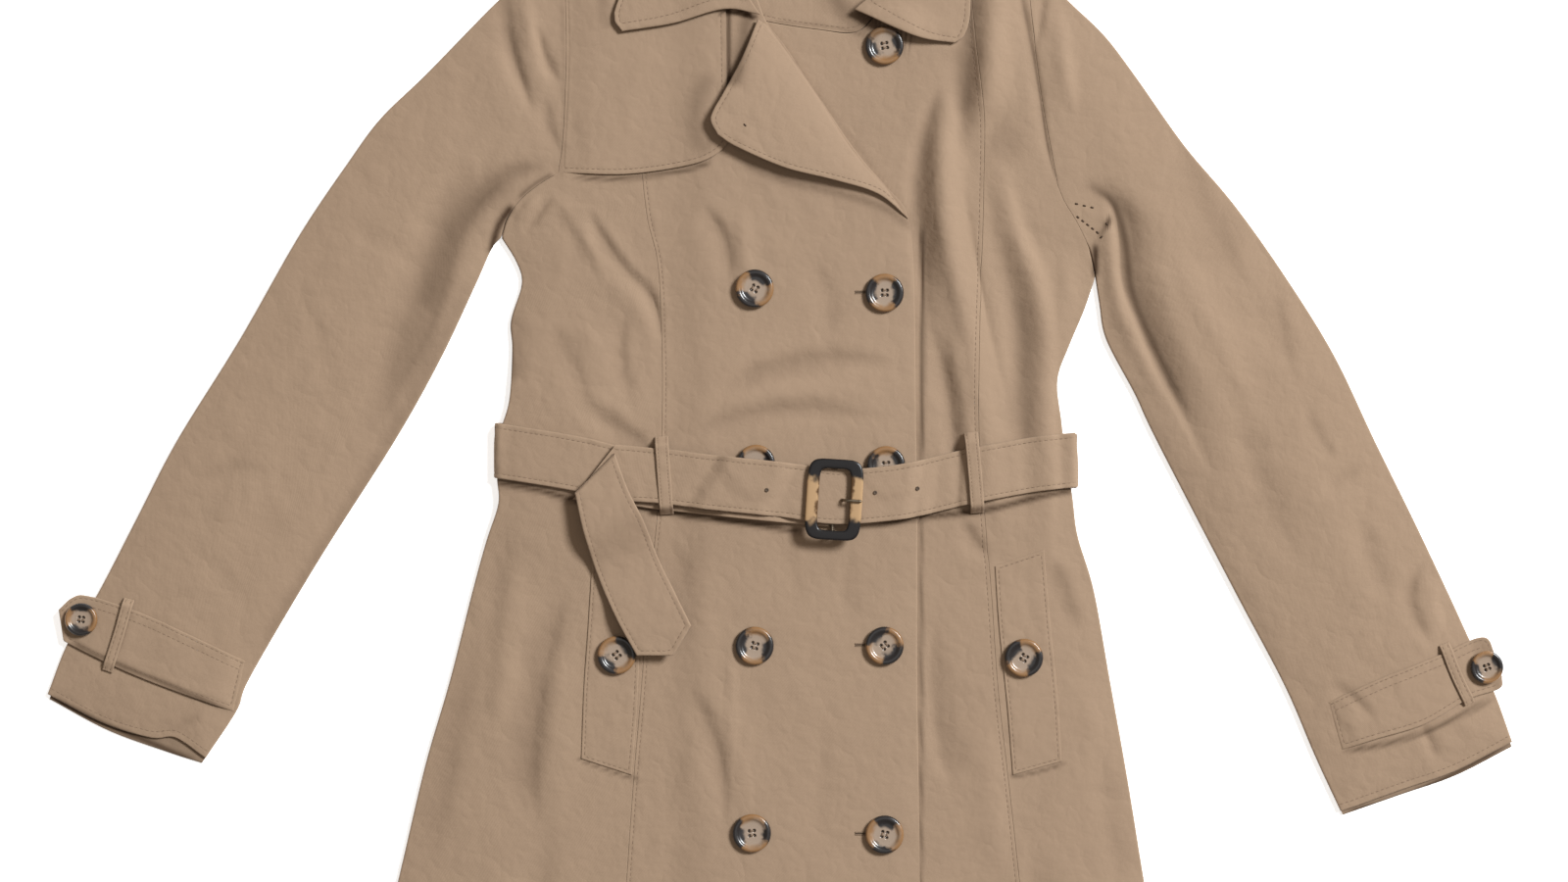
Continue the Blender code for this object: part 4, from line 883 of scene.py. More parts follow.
@dataclass(frozen=True)
class Twill:
    """Matt cotton twill: fine steep wales, a crossing yarn and a faint mottle."""
    name: str
    colour: tuple = (0.309, 0.216, 0.1475, 1.0)
    # dark end of the blend: for the cloth's random tone, and for the painted shade kept on the mesh
    dark_tone_and_shade: tuple = (0.040, 0.019, 0.008, 1.0)
    wale: float = 0.0011
    lean: float = 0.55
    relief: float = 0.06
    crumple: float = 2.2

    def make(self) -> bpy.types.Material:
        """Builds the material.

        Wales = sine of (across + lean x along) over the wale's width; colour = cloth x mottle
        x yarn x (1 - painted shade kept on the mesh); height, in mm = relief x weave + crumple x |noise|.
        """
        graph = Graph(self.name)
        place, body = graph.map("cut"), graph.body()
        across, along, _ = graph.split(place)
        turn = 2 * math.pi / self.wale
        wale = graph.math("SINE", (across + along * self.lean) * turn)
        yarn = graph.math("SINE", (along - across * 0.3) * (turn * 1.7))
        weave = wale * 0.5 + yarn * 0.22
        slub = graph.noise(place, 900.0, 3.0)
        mottle, cloud = graph.noise(body, 9.0, 4.0), graph.noise(body, 60.0, 3.0)
        # the cloth's own weave and mottle, times one less the painted shade kept on the mesh
        tone = (weave * 0.05 + slub * 0.22 + mottle * 0.12 + cloud * 0.12 + 0.77) * (1.0 - graph.shade())
        crumples = (graph.size(graph.noise(body, 26.0, 3.0) - 0.5)
                    + graph.size(graph.noise(body, 61.0, 3.0) - 0.5) * 0.5)
        height = (weave * 0.5 + slub * 0.8) * self.relief + crumples * self.crumple
        normal = graph.add("ShaderNodeBump", None,
                           {"Strength": 1.0, "Distance": MM, "Height": height}, "Normal")
        return graph.finish(Base_Color=graph.blend(tone, self.dark_tone_and_shade, self.colour), Normal=normal,
                            Roughness=cloud * 0.12 + 0.80, Sheen_Weight=0.12, Sheen_Roughness=0.45,
                            Specular_IOR_Level=0.22)


@dataclass(frozen=True)
class Yarn:
    """Sewing thread, a shade darker than the cloth."""
    name: str
    colour: tuple = (0.2, 0.135, 0.09, 1.0)

    def make(self) -> bpy.types.Material:
        """Builds the material: its colour x noise along the thread."""
        graph = Graph(self.name)
        tone = graph.noise(graph.body(), 700.0) * 0.5 + 0.75
        return graph.finish(Base_Color=graph.blend(tone, BLACK, self.colour), Roughness=0.6,
                            Specular_IOR_Level=0.35)


@dataclass(frozen=True)
class Horn:
    """Polished mottled resin: dark patches at two sides of an amber rim, with a paler middle that is partly
    the resin's own tone and partly a painted reflection, and painted shade in the holes.
    """
    name: str
    dark: tuple = (0.016, 0.014, 0.015, 1.0)
    amber: tuple = (0.24, 0.125, 0.052, 1.0)
    # paler middle: partly the resin's own tone, partly a painted reflection
    pale_and_reflection: tuple = (0.30, 0.225, 0.17, 1.0)
    # painted shade in the button's holes
    hole: tuple = (0.045, 0.033, 0.025, 1.0)

    def make(self) -> bpy.types.Material:
        """Builds a button's material from its own map: u along the dark patches, radius 1 at the rim."""
        graph = Graph(self.name)
        body = graph.body()
        across, along, _ = graph.split(graph.map("dish"))
        warp, fine = graph.noise(body, 95.0, 3.0) - 0.5, graph.noise(body, 420.0, 3.0) - 0.5
        radius = graph.math("SQRT", across * across + along * along)
        side = graph.size(across) - graph.size(along) * 0.5
        patch = (graph.step(side + warp * 1.3 + fine * 0.35, 0.14, 0.42)
                 * graph.step(radius + warp * 0.5, 0.34, 0.56))
        rim = graph.step(radius + warp * 0.6 + fine * 0.2, 0.5, 0.85)
        tint = graph.blend(rim, self.pale_and_reflection, self.amber)
        tint = graph.blend(patch, tint, self.dark)
        # painted shade kept on the mesh: the holes, and shadow from the listed lines
        tint = graph.blend(graph.shade(), tint, self.hole)
        return graph.finish(Base_Color=tint, Roughness=0.3 + fine * 0.2, Coat_Weight=0.25,
                            Coat_Roughness=0.12)


@dataclass(frozen=True)
class BuckleHorn:
    """The same resin on the buckle: black across its ends, amber along its sides, with painted shade along
    the inner edge of the sides.
    """
    name: str
    dark: tuple = (0.010, 0.009, 0.010, 1.0)
    amber: tuple = (0.40, 0.255, 0.135, 1.0)
    inner_edge_shade: tuple = (0.09, 0.045, 0.018, 1.0)

    def make(self) -> bpy.types.Material:
        """Builds the material from the frame's map: across and along it, 1 at its outer edge."""
        graph = Graph(self.name)
        body = graph.body()
        across, along, _ = graph.split(graph.map("dish"))
        warp, fine = graph.noise(body, 130.0, 3.0) - 0.5, graph.noise(body, 500.0, 3.0) - 0.5
        ends = graph.step(graph.size(along - across * 0.06) + warp * 0.5, 0.47, 0.62)
        # painted shade along the inner edge of the frame's sides
        inner = graph.step(graph.size(across) + warp * 0.5, 0.72, 0.62)
        tint = graph.blend(inner, self.amber, self.inner_edge_shade)
        tint = graph.blend(ends, tint, self.dark)
        return graph.finish(Base_Color=tint, Roughness=0.32 + fine * 0.15, Coat_Weight=0.12,
                            Coat_Roughness=0.12, Specular_IOR_Level=0.3)


@dataclass(frozen=True)
class AgedBrass:
    """Dull antique metal of the bar and the prong."""
    name: str
    colour: tuple = (0.30, 0.25, 0.19, 1.0)
    tarnish: tuple = (0.10, 0.075, 0.05, 1.0)

    def make(self) -> bpy.types.Material:
        """Builds the material: tarnish where a fine noise is high, and rougher there."""
        graph = Graph(self.name)
        stain = graph.noise(graph.body(), 300.0, 4.0)
        return graph.finish(Base_Color=graph.blend(stain, self.colour, self.tarnish),
                            Roughness=stain * 0.3 + 0.25, Metallic=1.0)


@dataclass(frozen=True)
class Plain:
    """One even colour, for the floor and for the painted shade in buttonhole slits."""
    name: str
    colour: tuple

    def make(self) -> bpy.types.Material:
        """Builds the material."""
        return Graph(self.name).finish(Base_Color=self.colour, Roughness=0.9, Specular_IOR_Level=0.2)


class Finish(Enum):
    """Every finish of the coat, each paired with a slot name."""
    SHELL = (Twill("twill"), "shell")
    # a darker copy of the shell twill: painted shade on the back panel and the sleeves' under panels
    INSIDE = (Twill("twill_shaded", (0.235, 0.165, 0.113, 1.0)), "shell")
    BELTING = (Twill("twill_belt"), "belt")
    THREAD = (Yarn("thread"), "shell")
    BELT_THREAD = (Yarn("thread_belt"), "belt")
    # painted shade: the dark of each buttonhole's slit
    SLIT = (Plain("slit", (0.07, 0.047, 0.03, 1.0)), "shell")
    TACK = (Yarn("thread_tack", (0.06, 0.035, 0.02, 1.0)), "shell")
    # dark thread; it also colours the discs of painted shade in the eyelets' holes
    EYELET = (Yarn("thread_eyelet", (0.085, 0.058, 0.04, 1.0)), "belt")
    BUTTON = (Horn("horn"), "button")
    BUCKLE = (BuckleHorn("horn_buckle"), "buckle")
    METAL = (AgedBrass("aged_brass"), "buckle_metal")

    @property
    def material(self) -> bpy.types.Material:
        """Its material, made once."""
        own = self.value[0]
        return bpy.data.materials.get(own.name) or own.make()


# ---- meshes
def mesh_object(name: str, points: Array, faces: Array, finish: Finish, node: str = "",
                maps: dict | None = None, shade: Array | None = None) -> bpy.types.Object:
    """A finished piece of the coat.

    Args:
        name: the piece's name.
        points: its vertices in the tables' frame, in millimetres.
        faces: its quads or triangles, one row each.
        finish: its finish.
        node: the frame's node that it stands for, if any.
        maps: UV maps by name, a pair for each vertex.
        shade: painted shade for each vertex, kept on the mesh.

    Returns:
        The object, carried by the coat.
    """
    mesh = bpy.data.meshes.new(name)
    mesh.vertices.add(len(points))
    mesh.vertices.foreach_set("co", ((points + FRAME_SHIFT) * MM).astype(np.float32).ravel())
    corners = faces.shape[1]
    mesh.loops.add(faces.size)
    mesh.loops.foreach_set("vertex_index", faces.astype(np.int32).ravel())
    mesh.polygons.add(len(faces))
    mesh.polygons.foreach_set("loop_start", np.arange(0, faces.size, corners, dtype=np.int32))
    mesh.polygons.foreach_set("use_smooth", np.ones(len(faces), bool))
    for key, pairs in (maps or {}).items():
        layer = mesh.uv_layers.new(name=key)
        layer.data.foreach_set("uv", pairs[faces.ravel()].astype(np.float32).ravel())
    kept = mesh.attributes.new("shade", "FLOAT", "POINT")
    kept.data.foreach_set("value", (np.zeros(len(points)) if shade is None else shade).astype(np.float32))
    mesh.update()
    mesh.validate()
    mesh.materials.append(finish.material)
    made = bpy.data.objects.new(name, mesh)
    bpy.context.scene.collection.objects.link(made)
    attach(made, "root")
    if node:
        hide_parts(node)
    log.info("%s: %d triangles", name, len(faces) * (corners - 2))
    return made


def grid_faces(index: Array) -> Array:
    """Quads of a grid of vertex numbers."""
    return np.stack([index[:-1, :-1], index[:-1, 1:], index[1:, 1:], index[1:, :-1]],
                    axis=-1).reshape(-1, 4)


class Rim(Enum):
    """How an edge of a sheet is rolled: share of the wall where its faces meet, and the radius."""
    FREE = (0.5, 0.95)
    SEAM = (0.9, 0.4)
    LOWERED = (-0.05, 1.2)
    RAISED = (1.05, 1.2)
    FOLD_UNDER = (1.3, 1.3)
    FOLD_OVER = (-0.3, 2.6)
    SUNK = (0.05, 2.4)


# distances from an edge at which a sheet's grid has lines: rolled rim, then the stitching
RINGS = np.array([0.0, 0.1, 0.3, 0.62, 1.1, 2.0, 2.9, 3.35, 3.8, 4.4, 5.6])
# share of a short line that its rings may take at each end
RING_SHARE = 0.42
# how far in the usual row of stitching lies, how deep it presses, and half how wide
STITCH_IN = 3.6
GROOVE = 0.13
GROOVE_WIDTH = 0.7
# reach of a sewn line that makes a seam of the rim beside it
SEWN_REACH = 2.5
UP = np.array([[0.0, 0.0, 1.0]])


def stitched(*edges: int) -> tuple[tuple[int, float], ...]:
    """Rows of stitching at the usual distance from these edges of a sheet."""
    return tuple((edge, STITCH_IN) for edge in edges)


def layout(length: Array, step: float) -> Array:
    """Shares of a grid line's length: rings near both ends, even steps between.

    Args:
        length: the length of each line.
        step: the spacing away from the edges.

    Returns:
        One row of shares for each line.
    """
    length = np.asarray(length, float)[:, None]
    rings = RINGS[None] * np.minimum(1.0, RING_SHARE * length / RINGS[-1]) / length
    count = max(3, round((float(length.mean()) - 2 * RINGS[-1]) / step))
    start = rings[:, -1:]
    middle = start + (1 - 2 * start) * np.linspace(0, 1, count + 1)[None, 1:-1]
    return np.hstack([rings, middle, 1 - rings[:, ::-1]])


@dataclass
class Sheet:
    """A closed shell of cloth between four edge polylines.

    Its edges are bottom, top, left and right; bottom and top run left to right,
    the others upwards. `rows` holds each row of stitching: edge number and distance.
    Along `sewn` any rim is a seam, `stiff` keeps the sheet level across and `extra` bends it last.
    """
    name: str
    edges: tuple[Array, Array, Array, Array]
    wall: float
    low: Height | None
    rims: tuple[Rim, Rim, Rim, Rim] = (Rim.FREE,) * 4
    rows: tuple[tuple[int, float], ...] = ()
    step: float = 2.8
    by_axis: bool = False
    stiff: float = 0.0
    extra: Callable[[Array], Array] | None = None
    sewn: Array | None = None
    finish: Finish = Finish.SHELL
    top: Array = field(init=False)
    normal: Array = field(init=False)
    gaps: Array = field(init=False)

    def plan(self) -> tuple[Array, Array]:
        """Grid points between the edges, a Coons patch, and each point's grid distance to them."""
        axes = (0, 0, 1, 1) if self.by_axis else (None,) * 4
        own = [shares_of(edge, axis) for edge, axis in zip(self.edges, axes)]
        bottom, top, left, right = (lambda s, e=e, o=o: pick(e, o, s) for e, o in zip(self.edges, own))
        even = np.linspace(0, 1, 9)
        tall = float(np.mean(np.linalg.norm(top(even) - bottom(even), axis=1)))
        v_mean = layout(np.array([tall]), self.step)[0]
        wide = np.linalg.norm(right(v_mean) - left(v_mean), axis=1)
        u = layout(np.maximum(wide, 1.0), self.step)
        u_mean = u.mean(axis=0)
        high = np.linalg.norm(top(u_mean) - bottom(u_mean), axis=1)
        v = layout(np.maximum(high, 1.0), self.step).T
        if v.shape[0] != u.shape[0]:
            v = np.stack([np.interp(np.linspace(0, 1, u.shape[0]), np.linspace(0, 1, v.shape[0]), column)
                          for column in v.T], axis=1)
        u3, v3 = u[..., None], v[..., None]
        corners = ((1 - u3) * (1 - v3) * self.edges[0][0] + u3 * (1 - v3) * self.edges[0][-1]
                   + (1 - u3) * v3 * self.edges[1][0] + u3 * v3 * self.edges[1][-1])
        points = ((1 - v3) * bottom(u) + v3 * top(u) + (1 - u3) * left(v) + u3 * right(v) - corners)
        gaps = np.stack([v * high, (1 - v) * high, u * wide[:, None], (1 - u) * wide[:, None]])
        return points, gaps

    def true_gaps(self, points: Array, gaps: Array) -> Array:
        """Grid distances, with the real distance where a point is near an edge."""
        for number, edge in enumerate(self.edges):
            reach = max([8.0] + [distance + 5.0 for at, distance in self.rows if at == number])
            near = gaps[number] < reach * 1.6
            gaps[number][near] = line_gap(points[..., 0][near], points[..., 1][near], edge)[0]
        return gaps

    def laid(self) -> tuple[Array, Array]:
        """The grid's points on what the sheet lies on, and their distances to the four edges."""
        points, gaps = self.plan()
        flat = points.shape[-1] == 2
        if flat:
            gaps = self.true_gaps(points, gaps)
            points = np.dstack([points, np.zeros(points.shape[:2])])
        if self.low is not None:
            own = self.low(points[..., 0], points[..., 1])
            points[..., 2] = own if flat else COLLAR_SOFT * np.logaddexp(
                points[..., 2] / COLLAR_SOFT, own / COLLAR_SOFT)
        if self.stiff:
            points[..., 2] += self.stiff * (points[..., 2].max(axis=0)[None] - points[..., 2])
        return points if self.extra is None else self.extra(points), gaps

    def rolled(self, points: Array, gaps: Array) -> tuple[Array, Array]:
        """How the faces part behind the rims.

        Args:
            points: the underside's points.
            gaps: their distances to the four edges.

        Returns:
            Share of the wall at which the faces meet at the nearest rims, and how far they have
            parted there: a quarter circle over the rim's radius.
        """
        meets, radii = (np.array([rim.value[i] for rim in self.rims])[:, None, None] for i in (0, 1))
        if self.sewn is not None:
            seam = bell(line_gap(points[..., 0], points[..., 1], self.sewn)[0], SEWN_REACH)
            meets = meets * (1 - seam) + Rim.SEAM.value[0] * seam
            radii = radii * (1 - seam) + Rim.SEAM.value[1] * seam
        weight = 1 / (gaps + 0.25)**3
        meet = np.sum(weight * meets, axis=0) / np.sum(weight, axis=0)
        share = np.clip(np.min(gaps / radii, axis=0), 0.0, 1.0)
        share[[0, -1], :] = 0.0
        share[:, [0, -1]] = 0.0
        return meet, np.sqrt(1 - (1 - share)**2)

    def build(self, node: str, shade: Height | None = None) -> bpy.types.Object:
        """Makes the shell: both faces stand on the underside, along its normals.

        Args:
            node: the frame's node that it stands for.
            shade: painted shade over the places (x, y).

        Returns:
            The object.
        """
        points, gaps = self.laid()
        normal = np.cross(np.gradient(points, axis=1), np.gradient(points, axis=0))
        size = np.linalg.norm(normal, axis=2, keepdims=True)
        normal = np.where(size > 1e-9, normal / np.maximum(size, 1e-9), UP[0])
        flipped = np.sum(normal[..., 2]) < 0
        normal = -normal if flipped else normal
        meet, parted = self.rolled(points, gaps)
        groove = self.groove(points, gaps)
        upper = self.wall * (meet + (1 - meet) * parted) - groove * parted
        lower = self.wall * meet * (1 - parted)
        top, bottom = points + normal * upper[..., None], points + normal * lower[..., None]
        self.top, self.normal, self.gaps = top, normal, gaps
        along, across = (np.cumsum(np.linalg.norm(np.diff(points, axis=i, prepend=start), axis=2), axis=i)
                         for i, start in ((0, points[:1]), (1, points[:, :1])))
        cut = np.stack([across, along], axis=-1) * MM
        # painted shade in the stitching's grooves, less a faint painted highlight along the rims, plus the
        # painted shade passed in
        dark = groove / GROOVE * 0.05 - 0.015 * np.exp(-np.min(gaps, axis=0) / 1.6)
        if shade is not None:
            dark = dark + shade(points[..., 0], points[..., 1])
        count = top.shape[0] * top.shape[1]
        upper_index = np.arange(count).reshape(top.shape[:2])
        inner = np.zeros(top.shape[:2], bool)
        inner[1:-1, 1:-1] = True
        lower_index = upper_index.copy()
        lower_index[inner] = count + np.arange(inner.sum())
        faces = np.vstack([grid_faces(upper_index), grid_faces(lower_index)[:, ::-1]])
        # the underside's points get 0.1 more painted shade
        made = mesh_object(
            self.name, np.vstack([top.reshape(-1, 3), bottom[inner]]),
            faces[:, ::-1] if flipped else faces, self.finish, node,
            {"cut": np.vstack([cut.reshape(-1, 2), cut[inner]])},
            np.concatenate([dark.ravel(), dark[inner] + 0.1]))
        return made

    def groove(self, points: Array, gaps: Array) -> Array:
        """Depth pressed by the rows of stitching, with their pucker.

        Depth = groove x exp(-(distance / half width)^2), and beside it two sine waves along the row.
        """
        total = np.zeros(points.shape[:2])
        wave = np.sin((points[..., 0] + 0.7 * points[..., 1]) / 1.9)
        long_wave = np.sin((points[..., 0] - 1.2 * points[..., 1]) / 8.3)
        for distance in sorted({row[1] for row in self.rows}):
            nearest = np.min([gaps[at] for at, own in self.rows if own == distance], axis=0)
            total += GROOVE * bell(nearest - distance, GROOVE_WIDTH)
            total += (0.05 * wave + 0.07 * long_wave) * bell(nearest - distance, 2.4)
        return total

    def stitch_paths(self) -> list[tuple[Array, Array]]:
        """Places and normals along each row of stitching, cut off where another row takes over."""
        found = []
        for edge, distance in self.rows:
            top, normal, gaps = self.top, self.normal, self.gaps
            if edge in (0, 1):
                top, normal, gaps = (np.swapaxes(top, 0, 1), np.swapaxes(normal, 0, 1),
                                     np.swapaxes(gaps, 1, 2))
            if edge in (1, 3):
                top, normal, gaps = top[:, ::-1], normal[:, ::-1], gaps[:, :, ::-1]
            row = np.arange(len(top))
            past = np.maximum(np.argmax(gaps[edge] >= distance, axis=1), 1)
            before, after = gaps[edge][row, past - 1], gaps[edge][row, past]
            share = np.clip((distance - before) / np.maximum(after - before, 1e-6), 0, 1)[:, None]
            place = top[row, past - 1] * (1 - share) + top[row, past] * share
            way = normal[row, past - 1] * (1 - share) + normal[row, past] * share
            rest = gaps[:, row, past].copy()
            rest[edge] = 1e3
            limit = np.full(4, 1.0)
            for at, own in self.rows:
                limit[at] = max(limit[at], own - 0.2) if own <= distance + 0.1 else limit[at]
            kept = np.all(rest >= limit[:, None], axis=0)
            if edge in (2, 3):
                kept[[0, -1]] = False
            breaks = np.flatnonzero(np.diff(np.concatenate([[0], kept.astype(int), [0]])))
            for start, end in zip(breaks[::2], breaks[1::2]):
                if end - start > 3:
                    found.append((place[start:end], way[start:end]))
        return found


@dataclass
class Thread:
    """Rows of stitches gathered into one mesh: each a four-sided spindle along the row."""
    name: str
    finish: Finish = Finish.THREAD
    pitch: float = 3.9
    length: float = 3.1
    width: float = 0.42
    made: list[Array] = field(default_factory=list)

    def run(self, place: Array, normal: Array) -> None:
        """Adds even stitches along a path."""
        length = np.concatenate([[0.0], np.cumsum(np.linalg.norm(np.diff(place, axis=0), axis=1))])
        count = int(length[-1] / self.pitch)
        if count < 1:
            return
        middle = (np.arange(count) + 0.5) * length[-1] / count
        start, end = (pick(place, length, middle + sign * self.length / 2) for sign in (-1, 1))
        self.stitches(start, end, pick(normal, length, middle), self.width)

    def stitches(self, start: Array, end: Array, normal: Array, width: float) -> None:
        """Adds stitches of that width between pairs of points."""
        way = end - start
        side = unit(np.cross(normal, way))
        rise = unit(normal) * width * 0.42
        corners = [start - rise * 0.5]
        for share in (0.22, 0.78):
            middle = start + way * share + rise * 0.25
            corners += [middle + side * width / 2, middle + rise, middle - side * width / 2,
                        middle - rise]
        corners.append(end - rise * 0.5)
        self.made.append(np.stack(corners, axis=1))

    def build(self, sheets: tuple | list = ()) -> bpy.types.Object:
        """Adds the rows of whole sheets and makes the mesh."""
        for sheet in sheets:
            for place, normal in sheet.stitch_paths():
                self.run(place, normal)
        points = np.concatenate(self.made)
        pairs = [(i, (i + 1) % 4) for i in range(4)]
        ends = [(0, 1 + i, 1 + j) for i, j in pairs] + [(9, 5 + j, 5 + i) for i, j in pairs]
        sides = [half for i, j in pairs for half in ((1 + i, 5 + i, 5 + j), (1 + i, 5 + j, 1 + j))]
        shape = np.array(ends + sides)[:, ::-1]
        faces = shape[None] + 10 * np.arange(len(points))[:, None, None]
        return mesh_object(self.name, points.reshape(-1, 3), faces.reshape(-1, 3), self.finish)


def on_face(base: Height, place: Array, above: float) -> Array:
    """Places (x, y) on a panel's upper face, or a little above it."""
    return np.column_stack([place, base(place[:, 0], place[:, 1]) + PANEL + above])


def tube(path: Array, radius: float, around: int = 14) -> tuple[Array, Array]:
    """Closed round wire along a path, with rounded ends.

    Args:
        path: points (x, y, z).
        radius: its radius.
        around: corners of its section.

    Returns:
        Vertices and quads, with a repeated corner at the tips.
    """
    way = unit(np.gradient(path, axis=0))
    side = np.cross(way, UP[0])
    side[np.linalg.norm(side, axis=1) < 0.2] = [0.0, 1.0, 0.0]
    side = unit(side)
    over = np.cross(side, way)
    caps = np.array([0.98, 0.78, 0.42])
    start = path[0] - way[0] * radius * caps[:, None]
    end = path[-1] + way[-1] * radius * caps[::-1, None]
    spread = radius * np.sqrt(1 - caps**2)
    centre = np.vstack([start, path, end])
    size = np.concatenate([spread, np.full(len(path), radius), spread[::-1]])
    index = np.clip(np.arange(len(centre)) - len(caps), 0, len(path) - 1)
    angle = angles(around)
    ring = (side[index, None] * np.cos(angle)[None, :, None]
            + over[index, None] * np.sin(angle)[None, :, None])
    points = centre[:, None] + ring * size[:, None, None]
    number = np.arange(len(centre) * around).reshape(len(centre), around)
    number = np.hstack([number, number[:, :1]])
    tips = np.stack([start[0] - way[0] * 0.02 * radius, end[-1] + way[-1] * 0.02 * radius])
    first, last, count = number[0], number[-1], points.size // 3
    fans = [np.column_stack([np.full((around, 2), count), first[1:], first[:-1]]),
            np.column_stack([np.full((around, 2), count + 1), last[:-1], last[1:]])]
    return np.vstack([points.reshape(-1, 3), tips]), np.vstack([grid_faces(number), *fans])


def triangles(faces: Array) -> Array:
    """Quads as triangles, without the empty ones that a repeated corner leaves."""
    both = np.vstack([faces[:, [0, 1, 2]], faces[:, [0, 2, 3]]])
    full = (both[:, 0] != both[:, 1]) & (both[:, 1] != both[:, 2]) & (both[:, 2] != both[:, 0])
    return both[full]


def placed(centre: tuple, z: float, turn: float = 0.0) -> Matrix:
    """Matrix, in millimetres, from a piece's own frame to the tables' frame."""
    return Matrix.Translation((*centre, z)) @ Matrix.Rotation(turn, 4, "Z")


def through(matrix: Matrix, points: Array) -> Array:
    """Points moved by a matrix."""
    rows = np.array(matrix)
    return points @ rows[:3, :3].T + rows[:3, 3]


# ---- the coat's assemblies
@dataclass
class Body:
    """Back panel and the four front panels, sewn by princess seams."""
    hem_row: float = 26.0
    seam_row: float = 2.6
    back_step: float = 5.5
    # points from the corner of each armpit that stay out of the sewn line
    skipped_right: int = 16
    skipped_left: int = 12

    def panel(self, name: str, left: Array, right: Array, low: Height, rims: tuple,
              top: Array | None = None, **more: object) -> Sheet:
        """One panel from the hem to the shoulder.

        Args:
            name: the piece's name.
            left: its left edge, from the hem up.
            right: its right edge.
            low: its underside.
            rims: its left and right rim.
            top: its top edge, if it isn't straight.
            **more: further fields of the sheet.

        Returns:
            The sheet.
        """
        hem, level = ends_of(left, right)
        return Sheet(name, (hem, level if top is None else top, left, right), PANEL, low,
                     (Rim.FREE, Rim.FREE, *rims), by_axis=True, **more)

    def build(self) -> list[Sheet]:
        """Makes the panels and returns the fronts: each hem is sewn, and one side of each seam."""
        right, left = (join(smooth(side)[::-1], armhole(armpit, head)) for side, armpit, head in (
            (SIDE_RIGHT, ARMPIT_RIGHT, HEAD_RIGHT), (SIDE_LEFT, ARMPIT_LEFT, HEAD_LEFT)))
        half = np.array([SEAM_GAP / 2, 0.0])
        seam_right, seam_left = smooth(SEAM_RIGHT)[::-1], smooth(SEAM_LEFT)[::-1]
        front = smooth(FRONT_EDGE + ROLL_LINE[1:] + OVER_NECK[1:])
        hidden = straight((UNDER_EDGE_X, HEM_Y), UNDER_TOP[0])
        under_top = smooth(UNDER_TOP[:-1] + (tuple(seam_left[-1] - half),))
        hem = (0, self.hem_row)
        # the back panel takes the darker twill, painted shade for where it shows
        back = self.panel("cloth_back", right, left, GROUND.back, (Rim.RAISED, Rim.RAISED),
                          smooth(SHOULDERS), step=self.back_step, finish=Finish.INSIDE)
        fronts = [
            self.panel("cloth_over_side", right, seam_right - half, GROUND.over,
                       (Rim.LOWERED, Rim.SEAM), rows=(hem,),
                       sewn=armhole(ARMPIT_RIGHT, HEAD_RIGHT, self.skipped_right)),
            self.panel("cloth_over", seam_right + half, front, GROUND.over, (Rim.SEAM, Rim.FREE),
                       rows=(hem, (2, self.seam_row))),
            self.panel("cloth_under", hidden, seam_left - half, GROUND.body, (Rim.FREE, Rim.SEAM),
                       under_top, rows=(hem, (3, self.seam_row))),
            self.panel("cloth_under_side", seam_left + half, left, GROUND.body,
                       (Rim.SEAM, Rim.LOWERED), rows=(hem,),
                       sewn=armhole(ARMPIT_LEFT, HEAD_LEFT, self.skipped_left))]
        back.build("back_panel")
        for sheet in fronts:
            sheet.build(sheet.name.replace("cloth", "front"), shading)
        return fronts


def armhole(armpit: tuple, head: tuple, skipped: int = 0) -> Array:
    """Armhole seam from the armpit's corner up to the shoulder, less its first points."""
    return join(smooth(armpit), smooth(head))[skipped:]


def painted_shadow_lines(x: Array, y: Array) -> Array:
    """Painted shadow along each listed line.

    Each line's share x exp(-(distance / half width)^2) x a fade over an eighth of it at both ends.
    """
    total = np.zeros(np.shape(x))
    for share, width, *points in PAINTED_SHADOW_LINES:
        gap, along, _ = line_gap(x, y, smooth(points)[::3])
        total += share * bell(gap, width) * ease(8 * np.minimum(along, 1 - along))
    return np.minimum(total, 0.95)


def shading(x: Array, y: Array) -> Array:
    """Painted shade in the valleys between creases, 0.075 for each millimetre, a faint painted highlight on
    the ridges, and painted shadow along the listed lines.
    """
    return np.clip(np.clip(-GROUND.relief(x, y) * 0.075, -0.03, 0.28) + painted_shadow_lines(x, y), -0.03, 0.95)


